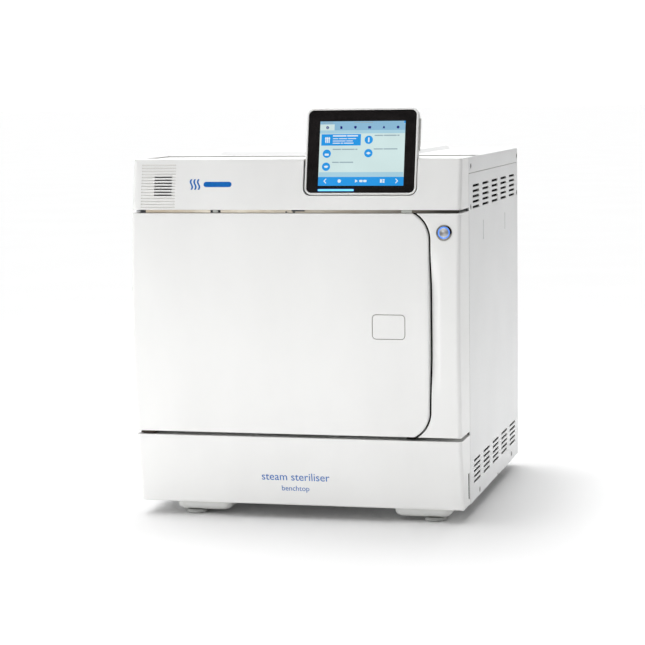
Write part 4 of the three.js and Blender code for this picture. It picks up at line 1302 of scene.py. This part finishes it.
# The picture on the screen: layers a few hundredths of a millimetre thick on the glass. Places on
# it are shares of its width from the left and of its height from the top.

SCREEN = {"left": -57.05, "low": 9.3, "width": 115.2, "height": 86.4}
LAYER = 0.04


def srgb(red, green, blue):
    """A linear colour from display values of 0 to 255."""
    return tuple(
        c / 255 / 12.92 if c <= 10.31475 else ((c / 255 + 0.055) / 1.055) ** 2.4
        for c in (red, green, blue)
    )


def on_screen(points):
    return [
        (SCREEN["left"] + u * SCREEN["width"], SCREEN["low"] + (1 - v) * SCREEN["height"])
        for u, v in points
    ]


def bar(left, right, top, bottom, corner=0.0):
    """A rectangle on the screen, its corner radius in millimetres."""
    (x0, z0), (x1, z1) = on_screen([(left, bottom), (right, top)])
    if corner:
        return rounded_rect(x0, x1, z0, z1, corner, 4)
    return rectangle(x0, x1, z0, z1)


def disc(u, v, radius, steps=32):
    """A round spot on the screen, its radius in millimetres."""
    return circle(on_screen([(u, v)])[0], radius, steps)


def figure(u, v, points):
    """A shape round a place on the screen, its points in millimetres."""
    x, z = on_screen([(u, v)])[0]
    return [(x + a, z + b) for a, b in points]


def writing(left, right, v, height, words):
    """A line of word-like bars that stands for a label, its words as shares of the line."""
    gap = 0.008
    free = (right - left) - gap * (len(words) - 1)
    bars = []
    start = left
    for word in words:
        end = start + free * word / sum(words)
        bars.append(bar(start, end, v - height / 2, v + height / 2, height * SCREEN["height"] * 0.3))
        start = end + gap
    return bars


def chevron(u, v, way):
    """An arrow head, pointing right when way is 1 and left when it is -1."""
    points = [(-1.6, 2.6), (-0.7, 3.3), (2.3, 0), (-0.7, -3.3), (-1.6, -2.6), (0.7, 0)]
    return figure(u, v, [(way * a, b) for a, b in points][::way])


def layer(name, outlines, level, colour):
    """One colour of the picture, a number of layers above the glass."""
    near = -(level + 1) * LAYER
    solids = [prism(outline, near, near + LAYER) for outline in outlines]
    finish = picture(name, srgb(*colour))
    show("screen_" + name, together(solids), "cabinet", "black_glass", finish, DISPLAY)


GEAR = [
    ((2.2 if i % 2 else 1.7) * math.cos(math.pi * i / 8), (2.2 if i % 2 else 1.7) * math.sin(math.pi * i / 8))
    for i in range(16)
]
SHEET_ICON = [(-1.4, -1.9), (1.5, -1.9), (1.5, 0.8), (0.4, 1.9), (-1.4, 1.9)]
SHIELD_ICON = [(0, -2.1), (1.7, -0.4), (1.7, 1.6), (0, 2.1), (-1.7, 1.6), (-1.7, -0.4)]
BELL_ICON = [(-1.9, -1.4), (1.9, -1.4), (1.1, -0.4), (1, 1), (0, 1.9), (-1, 1), (-1.1, -0.4)]
DIAMOND = [(0, -1.9), (3.2, 0), (0, 1.9), (-3.2, 0)]
POUCH = [(-2.9, 0.4), (-1.6, -1.4), (1.2, -1.6), (3, 0.2), (1.4, 1.5), (-1.2, 1.3)]

ROUND_BUTTONS = [(0.578, 0.29), (0.09, 0.503), (0.579, 0.497), (0.087, 0.704)]
TABS_U = (0.088, 0.25, 0.416, 0.583, 0.75, 0.915)
TABS_V = 0.097
BAR_V = 0.927

layer("ground", [bar(0, 1, 0, 1)], 0, (211, 233, 232))
layer("pale_bands", [bar(0, 1, 0.14, 0.19), bar(0.005, 0.995, 0.79, 0.864)], 1, (170, 211, 227))
layer("tab_row", [bar(0, 0.985, 0, 0.047), bar(0.17, 1, 0.047, 0.14)], 1, (140, 187, 216))
layer(
    "bright",
    [
        bar(0, 1, 0.864, 1),
        bar(0.02, 0.485, 0.2, 0.377),
        bar(0.985, 1, 0, 0.04),
        *[disc(u, v, 5.6, 48) for u, v in ROUND_BUTTONS],
    ],
    1,
    (26, 152, 232),
)
layer(
    "navy_icons",
    [
        figure(TABS_U[0], TABS_V, GEAR),
        figure(TABS_U[1], TABS_V, SHEET_ICON),
        figure(TABS_U[2], TABS_V, SHIELD_ICON),
        figure(TABS_U[3], TABS_V, rounded_rect(-2.1, 2.1, -1.6, 1.6, 0.5, 3)),
        figure(TABS_U[4], TABS_V, BELL_ICON),
        disc(TABS_U[5], TABS_V, 1.9, 24),
    ],
    2,
    (24, 28, 120),
)
layer(
    "white_marks",
    [
        disc(TABS_U[0], TABS_V, 0.8, 16),
        bar(0.066, 0.079, 0.245, 0.335, 0.4),
        bar(0.086, 0.099, 0.245, 0.335, 0.4),
        bar(0.106, 0.119, 0.245, 0.335, 0.4),
        bar(0.062, 0.124, 0.262, 0.272),
        *writing(0.155, 0.45, 0.227, 0.02, (5, 4)),
        *writing(0.155, 0.43, 0.27, 0.012, (2, 3, 3)),
        *writing(0.155, 0.39, 0.306, 0.012, (4, 2)),
        *writing(0.155, 0.40, 0.34, 0.014, (3, 1, 4)),
        figure(0.578, 0.29, rounded_rect(-1, 1, -3.2, 3.2, 0.9, 4)),
        figure(0.09, 0.515, rounded_rect(-2.8, 2.8, -1.6, 1.2, 1, 4)),
        figure(0.579, 0.497, DIAMOND),
        figure(0.087, 0.704, POUCH),
        chevron(0.083, BAR_V, -1),
        figure(0.25, BAR_V, [(1.2 * a, 1.2 * b) for a, b in GEAR]),
        figure(0.45, BAR_V, [(-1.7, -2.1), (2.1, 0), (-1.7, 2.1)]),
        *writing(0.485, 0.57, BAR_V, 0.034, (1, 1)),
        bar(0.727, 0.75, 0.9, 0.954, 0.3),
        bar(0.757, 0.78, 0.9, 0.923, 0.3),
        bar(0.757, 0.78, 0.931, 0.954, 0.3),
        chevron(0.918, BAR_V, 1),
    ],
    2,
    (232, 243, 250),
)
layer(
    "grey_labels",
    [
        *writing(0.645, 0.935, 0.223, 0.017, (4, 6, 1)),
        *writing(0.157, 0.449, 0.436, 0.017, (4, 6, 1)),
        *writing(0.64, 0.917, 0.433, 0.017, (4, 6)),
        *writing(0.157, 0.405, 0.637, 0.017, (3, 6)),
        *writing(0.03, 0.15, 0.024, 0.012, (1, 2)),
        *writing(0.4, 0.62, 0.02, 0.012, (2, 1, 3)),
    ],
    2,
    (150, 172, 182),
)


def light_halo():
    """The deep blue that the light bar throws into the glass round it."""
    (left, right), (low, high) = LIGHT_BAR["x"], LIGHT_BAR["z"]
    spread = 0.9
    outline = rounded_rect(left - spread, right + spread, low - spread, high + spread, 1.5, 6)
    hole = rounded_rect(left, right, low, high, 1.1)
    halo = cut(prism(outline, -LAYER, 0), prism(hole, -1, 1))
    finish = picture("halo_blue", srgb(18, 32, 120))
    show("light_bar_halo", halo, "cabinet", "black_glass", finish, DISPLAY)


light_halo()

# ---------------------------------------------------------------- power button


def power_button():
    """A chromed bezel, a lit ring and a spun steel cap, drawn round the button's own axis."""
    bezel = [
        (0, 12),
        (7.9, 12),
        (7.9, -1.5),
        (8.2, -1.7),
        (9, -1.5),
        (9.8, -1.15),
        (10.3, -0.7),
        (10.4, -0.3),
        (8.9, -0.3),
        (8.9, 14),
        (0, 14),
    ]
    ring = [(6.5, -1.2), (6.7, -1.35), (7.6, -1.35), (7.8, -1.2), (7.8, 4), (6.5, 4), (6.5, -1.2)]
    cap = [(0, -1.3), (3, -1.34), (5.9, -1.5), (6.2, -1.35), (6.3, -1), (6.3, 5), (0, 5)]
    stand_in("power_button_bezel", turned(bezel, (0, 0)), BEZEL_CHROME, BUTTON)
    stand_in("power_button_ring", turned(ring, (0, 0)), RING_BLUE, BUTTON)
    stand_in("power_button_cap", turned(cap, (0, 0)), BUTTON_STEEL, BUTTON)


power_button()

# ---------------------------------------------------------------- printed marks


def mark(name, outlines):
    """Flat ink on the barrelled front: outlines of x and z."""
    ink = [prism(outline, -0.05, 0.2) for outline in outlines]
    show(name, bent(together(ink), SEAM_DEPTH, 4), "cabinet", "moulded_white", INK_BLUE)


def wisp(x, low, high, width, sway):
    """A wavy upright stroke, as drawn for rising steam."""
    steps = 20
    left, right = [], []
    for i in range(steps + 1):
        z = low + (high - low) * i / steps
        middle = x + sway * math.sin(2 * math.pi * i / steps)
        left.append((middle - width / 2, z))
        right.append((middle + width / 2, z))
    return right + left[::-1]


def lettering(text, left, right, low, slant=0.0):
    """Generic words in plain letters, as one solid that fills a width on the front."""
    curve = bpy.data.curves.new("letters", "FONT")
    curve.body = text
    curve.extrude = 0.02
    curve.shear = slant
    holder = bpy.data.objects.new("letters", curve)
    bpy.context.scene.collection.objects.link(holder)
    graph = bpy.context.evaluated_depsgraph_get()
    mesh = bpy.data.meshes.new_from_object(holder.evaluated_get(graph))
    bpy.data.objects.remove(holder)
    xs = [v.co.x for v in mesh.vertices]
    scale = (right - left) / (max(xs) - min(xs))
    mesh.transform(Matrix.Scale(scale, 4))
    mesh.transform(Matrix.Rotation(math.radians(90), 4, "X"))
    mesh.transform(Matrix.Translation((left - min(xs) * scale, 0, low)))
    mesh.transform(Matrix.Scale(0.12 / scale / 0.02, 4, (0, 1, 0)))
    return mesh


BADGE = {"left": -145, "right": -86, "low": 445, "high": 459}
bar_low = BADGE["low"] + 3.5
pill = rounded_rect(BADGE["left"] + 20, BADGE["right"], bar_low, bar_low + 7, 3.4, 6)
wisps = [
    wisp(BADGE["left"] + 3 + 5 * i, BADGE["low"], BADGE["high"], 2.4, 1.3) for i in range(3)
]
mark("steam_badge", [pill, *wisps])

for name, text, left, right, low, slant in (
    ("generic_label", "steam steriliser", -51, 43, 53.5, 0.0),
    ("generic_sublabel", "benchtop", -24, 14, 39, 0.0),
):
    letters = bent(lettering(text, left, right, low, slant), SEAM_DEPTH, 4)
    show(name, letters, "cabinet", "moulded_white", INK_BLUE)

# ---------------------------------------------------------------- joint over the door


def door_joint_parts():
    """What shows in the joint between door and hood: a foam strip and three small guides."""
    low = DOOR[1].z + 0.6
    high = HOOD[0].z - 0.2
    half_way = (low + high) / 2
    near = front_depth(416) + 1.2
    arm = extent("hinge_bracket_upper")
    strip = cut(
        block((-205.4, near + 0.1, low), (221, 22, high)),
        block((arm[0].x - 1, arm[0].y - 0.2, low - 1), (arm[1].x + 1, 23, high + 1)),
    )
    show("joint_seal", rounded(strip, 0.2, 2), "cabinet", "silicone", SEAL_FOAM)
    dark = [
        block((-213, near - 0.3, low), (-205.6, arm[0].y - 0.2, high)),
        block((-114.5, near, low), (-111, 12.5, high)),
        block((-104, near, low), (-100.5, 12.5, high)),
        block((-2.5, near, half_way), (15.5, 12.5, high)),
        block((-11, near, low), (-8.5, 12.5, half_way)),
        block((-1, near, low), (2.5, 12.5, half_way - 0.2)),
    ]
    pads = together([rounded(piece, 0.3, 2) for piece in dark])
    show("joint_guide_pads", pads, "cabinet", "rubber", FINISHES["dark_plastic"])
    light = [
        block((-110.8, near + 0.4, low), (-104.2, 12.5, high)),
        block((146, near + 0.8, low), (160, 12.5, high)),
    ]
    blocks = together([rounded(piece, 0.3, 2) for piece in light])
    show("joint_guide_blocks", blocks, "cabinet", "grey_plastic", GUIDE_GREY)


door_joint_parts()

# ---------------------------------------------------------------- chamber, door inside and trays

CHAMBER_PROFILE = [
    (125, 71),
    (126, 70),
    (149, 70),
    (150, 71),
    (150, 84),
    (128, 84),
    (128, 417),
    (118, 428),
    (104, 434),
    (54, 441),
    (0, 443),
    (0, 439),
    (52, 437),
    (101, 430.5),
    (114, 425),
    (125, 415),
    (125, 71),
]
INSULATION_PROFILE = [(128.8, 92), (140, 92), (142, 94), (142, 412), (140, 414), (128.8, 414), (128.8, 92)]
PLATE_PROFILE = [
    (0, 58.3),
    (60, 58.3),
    (70, 60.3),
    (144, 60.3),
    (145, 61.3),
    (145, 63.3),
    (144, 64.3),
    (112, 64.3),
    (109, 63.2),
    (103, 63.2),
    (100, 64.3),
    (66, 64.3),
    (56, 62.3),
    (30, 62.3),
    (27, 61.6),
    (0, 61.6),
]
GASKET_PROFILE = [
    (129, 66),
    (129.4, 65),
    (130.5, 64.6),
    (138.5, 64.6),
    (139.6, 65),
    (140, 66),
    (139, 68),
    (137, 69.6),
    (134.5, 69.1),
    (132, 69.6),
    (130, 68),
    (129, 66),
]
SPINDLE_PROFILE = [
    (0, 12),
    (15, 12),
    (16, 13),
    (16, 23.7),
    (10, 23.7),
    (10, 36.3),
    (22, 36.3),
    (22, 58),
    (0, 58),
]

stand_in("chamber_vessel", turned(CHAMBER_PROFILE, CHAMBER, segments=128), CHAMBER_STEEL)
stand_in("chamber_insulation", turned(INSULATION_PROFILE, CHAMBER))
stand_in("pressure_plate", turned(PLATE_PROFILE, CHAMBER, segments=128), CHAMBER_STEEL)
stand_in("door_gasket", turned(GASKET_PROFILE, CHAMBER, segments=128))
stand_in("pressure_spindle", turned(SPINDLE_PROFILE, CHAMBER, segments=64), CHAMBER_STEEL)


def tray(node):
    """A pressed pan with round corners, a turned-out lip and rows of drain slots."""
    low, high = extent(node)
    sheet, lip, corner = 1.2, 2.4, 9
    rings = []
    for height, grow, round_by in ((low.z, -1.5, corner), (high.z, 0, corner + 1.5)):
        rings.append((height, grow, round_by))

    def solid(inset, bottom):
        levels = []
        for height, grow, round_by in rings:
            a = rounded_rect(
                low.x + inset - grow,
                high.x - inset + grow,
                low.y + inset - grow,
                high.y - inset + grow,
                round_by - inset,
                5,
            )
            levels.append([(x, y, max(height, bottom)) for x, y in a])
        levels[-1] = [(x, y, z + (1 if inset else 0)) for x, y, z in levels[-1]]
        return lofted(levels)

    edge = rounded_rect(low.x - lip, high.x + lip, low.y - lip, high.y + lip, corner + 3, 5)
    flange = lofted([[(x, y, z) for x, y in edge] for z in (high.z - sheet, high.z)])
    body = cut(join(solid(0, 0), flange), solid(sheet, low.z + sheet))
    slots = []
    across_count, back_count = 6, 9
    for i in range(across_count):
        for j in range(back_count):
            x = low.x + (high.x - low.x) * (i + 0.5) / across_count
            y = low.y + (high.y - low.y) * (j + 0.5) / back_count
            slots.append(upright(slot_outline((x, y), 18, 4, 3), low.z - 1, low.z + 3))
    return rounded(cut(body, together(slots)), 0.3, 2)


for node in ("tray_lower", "tray_middle", "tray_upper"):
    stand_in(node, tray(node))

# ---------------------------------------------------------------- rear fittings


def coupling(node, centre):
    """A threaded hose coupling with a hexagon collar and a barbed spigot."""
    low, high = extent(node)
    collar_front = CABINET_BACK + TOUCH
    profile = [
        (0, low.y),
        (9, low.y),
        (9, collar_front + 1),
        (8.6, 504),
        (8, 505),
        (8, 513),
        (9.4, 515.5),
        (9.5, 516.2),
        (8, 516.6),
        (8, 521.5),
        (9.4, 524),
        (9.5, 524.6),
        (8, 525),
        (7.2, high.y - 0.5),
        (6.6, high.y),
        (4.5, high.y),
        (4.5, high.y - 18),
        (0, high.y - 18),
    ]
    hexagon = prism(circle(centre, 13, 6), collar_front, 504)
    return rounded(join(turned(profile, centre, segments=48), hexagon), 0.5, 2)


def valve_body(centre):
    profile = [(0, 462), (9, 462), (9, 478), (14, 478), (14, 490), (9, 490), (9, 514), (0, 514)]
    return rounded(turned(profile, centre, segments=48), 0.6, 2)


def valve_cap(centre):
    """A knurled cap over the valve's end."""
    ribs, steps = 20, 160
    rings = []
    for depth, radius, wave in ((505, 13.3, 0.25), (506, 13.6, 0.4), (522.5, 13.6, 0.4), (525.5, 12.3, 0.2), (527, 10, 0)):
        ring = []
        for i in range(steps):
            angle = 2 * math.pi * i / steps
            r = radius + wave * math.cos(ribs * angle)
            ring.append((centre[0] + r * math.cos(angle), depth, centre[1] + r * math.sin(angle)))
        rings.append(ring)
    return cut(lofted(rings), prism(circle(centre, 9.6, 48), 500, 516))


stand_in("drain_coupling", coupling("drain_coupling", PORTS["drain"]))
stand_in("feed_coupling", coupling("feed_coupling", PORTS["feed"]))
stand_in("safety_valve_body", valve_body(PORTS["safety"]))
stand_in("safety_valve_cap", valve_cap(PORTS["safety"]))


def fan_rotor():
    """A hub with seven twisted blades."""
    low, high = extent("fan_rotor")
    centre = (FAN["x"], FAN["z"])
    middle = (low.y + high.y) / 2
    hub = [(0, low.y), (15.5, low.y), (18, low.y + 2), (18, high.y), (0, high.y)]
    solids = [turned(hub, centre, segments=64)]
    blades, stations, around_steps = 7, 5, 10
    for blade in range(blades):
        spoke = 2 * math.pi * blade / blades
        rings = []
        for i in range(stations):
            share = i / (stations - 1)
            radius = 16.5 + 25 * share
            pitch = math.radians(46 - 18 * share)
            chord = 15 + 6 * share
            ring = []
            for j in range(around_steps):
                angle = 2 * math.pi * j / around_steps
                along, thick = chord / 2 * math.cos(angle), 0.7 * math.sin(angle)
                camber = -1.6 * (1 - (2 * along / chord) ** 2)
                t = along * math.cos(pitch) - (thick + camber) * math.sin(pitch)
                y = along * math.sin(pitch) + (thick + camber) * math.cos(pitch)
                x = radius * math.cos(spoke) - t * math.sin(spoke)
                z = radius * math.sin(spoke) + t * math.cos(spoke)
                ring.append((centre[0] + x, middle + y, centre[1] + z))
            rings.append(ring)
        solids.append(lofted(rings))
    return join(solids[0], *solids[1:])


stand_in("fan_rotor", fan_rotor())
screws("fan_screws", [(FAN["x"] + a, CABINET_BACK, FAN["z"] + b) for a in (-41, 41) for b in (-41, 41)], "rear")

# ---------------------------------------------------------------- the rest of the CAD parts

EDGE_OF = {
    "base_tray": 0.4,
    "bulkhead": 0.4,
    "tray_rack": 0.4,
    "condenser": 0.3,
    "control_board": 0.3,
    "data_port": 0.3,
    "door_liner": 0.8,
    "mains_rocker": 0.35,
    "mains_switch_frame": 0.3,
    "memory_card": 0.3,
    "vacuum_pump_motor": 1.5,
    "power_supply": 1.2,
}
stood_for = {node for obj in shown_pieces() for node in obj.get("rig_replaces", [])}
# painted shade: the lower hinge bracket takes the darkened steel, and the mains switch's black frame and rocker take
# the shadow black, so that the joint and the switch's slot read dark
FINISH_OF = {
    "hinge_bracket_lower": STEEL_IN_PAINTED_SHADE,
    "mains_rocker": SHADOW_BLACK,
    "mains_switch_frame": SHADOW_BLACK,
}
for node in sorted(set(frame["nodes"]) - stood_for):
    soften(node, EDGE_OF.get(node, 0.6), finish=FINISH_OF.get(node))

# ---------------------------------------------------------------- stage, light and camera


def floor():
    """A wide pale floor."""
    size = 60
    mesh = bpy.data.meshes.new("floor")
    mesh.from_pydata([(-size, -size, 0), (size, -size, 0), (size, size, 0), (-size, size, 0)], [], [(0, 1, 2, 3)])
    made = Finish("floor_paper", IOR=1.3)
    tone = made.pattern(400, 2)
    made.colour(made.mix(made.range(tone, 0, 1), (0.965, 0.965, 0.965), (0.98, 0.98, 0.98)))
    made.roughness(made.range(tone, 0.85, 0.95))
    mesh.materials.append(made.material)
    obj = bpy.data.objects.new("floor", mesh)
    bpy.context.scene.collection.objects.link(obj)


def softbox(name, place, target, size, power):
    """A rectangular light aimed at a point."""
    lamp = bpy.data.lights.new(name, "AREA")
    lamp.shape = "RECTANGLE"
    lamp.size, lamp.size_y = size
    lamp.energy = power
    obj = bpy.data.objects.new(name, lamp)
    obj.location = place
    obj.rotation_euler = (Vector(target) - Vector(place)).to_track_quat("-Z", "Y").to_euler()
    obj.visible_camera = False
    obj.visible_glossy = False
    bpy.context.scene.collection.objects.link(obj)


def sky():
    """White surroundings made of soft patches: a bright ceiling, a shade high on the right, and a
    dark flag that keeps the screen free of reflections."""
    world = bpy.data.worlds.new("studio")
    bpy.context.scene.world = world
    world.use_nodes = True
    nodes, links = world.node_tree.nodes, world.node_tree.links
    direction = nodes.new("ShaderNodeTexCoord").outputs["Generated"]
    patches = [
        ((-0.15, 0.2, 0.97), 28, 40, 1.95),
        ((0, 1, 0), 30, 55, 0.45),
        ((0.95, 0, 0.3), 58, 88, -0.68),
        ((-0.12, -0.98, 0.16), 22, 34, -0.67),
    ]
    level = 0.73
    for towards, inner, outer, amount in patches:
        near = nodes.new("ShaderNodeVectorMath")
        near.operation = "DOT_PRODUCT"
        near.inputs[1].default_value = Vector(towards).normalized()
        links.new(direction, near.inputs[0])
        share = nodes.new("ShaderNodeMapRange")
        share.interpolation_type = "SMOOTHSTEP"
        share.inputs["From Min"].default_value = math.cos(math.radians(outer))
        share.inputs["From Max"].default_value = math.cos(math.radians(inner))
        share.inputs["To Max"].default_value = amount
        links.new(near.outputs["Value"], share.inputs["Value"])
        total = nodes.new("ShaderNodeMath")
        if isinstance(level, float):
            total.inputs[1].default_value = level
        else:
            links.new(level, total.inputs[1])
        links.new(share.outputs["Result"], total.inputs[0])
        level = total.outputs["Value"]
    links.new(level, nodes["Background"].inputs["Strength"])
    nodes["Background"].inputs["Color"].default_value = (1, 1, 1, 1)


def camera():
    """The camera that took the reference view."""
    yaw, pitch, roll = (math.radians(a) for a in (13.90, -6.166, -0.727))
    lens = bpy.data.cameras.new("camera")
    lens.sensor_width = 36
    lens.lens = 120.81
    lens.clip_start, lens.clip_end = 0.05, 200
    obj = bpy.data.objects.new("camera", lens)
    obj.location = (0.72396, -3.02659, 0.5775)
    turn = Matrix.Rotation(yaw, 4, "Z") @ Matrix.Rotation(math.pi / 2 + pitch, 4, "X")
    obj.rotation_euler = (turn @ Matrix.Rotation(roll, 4, "Z")).to_euler()
    bpy.context.scene.collection.objects.link(obj)
    bpy.context.scene.camera = obj


floor()
softbox("front_low", (-0.35, -1.2, 0.06), (0, -0.26, 0.05), (1.8, 0.12), 6.4)
softbox("kick", (0.62, 0.12, 0.05), (0.225, 0.12, 0.05), (0.9, 0.1), 0.95)
softbox("over_lid", (-0.03, 0.12, 1.15), (-0.03, 0.12, 0.5), (0.35, 0.4), 3.2)
sky()
camera()
bpy.context.scene.view_settings.view_transform = "Standard"
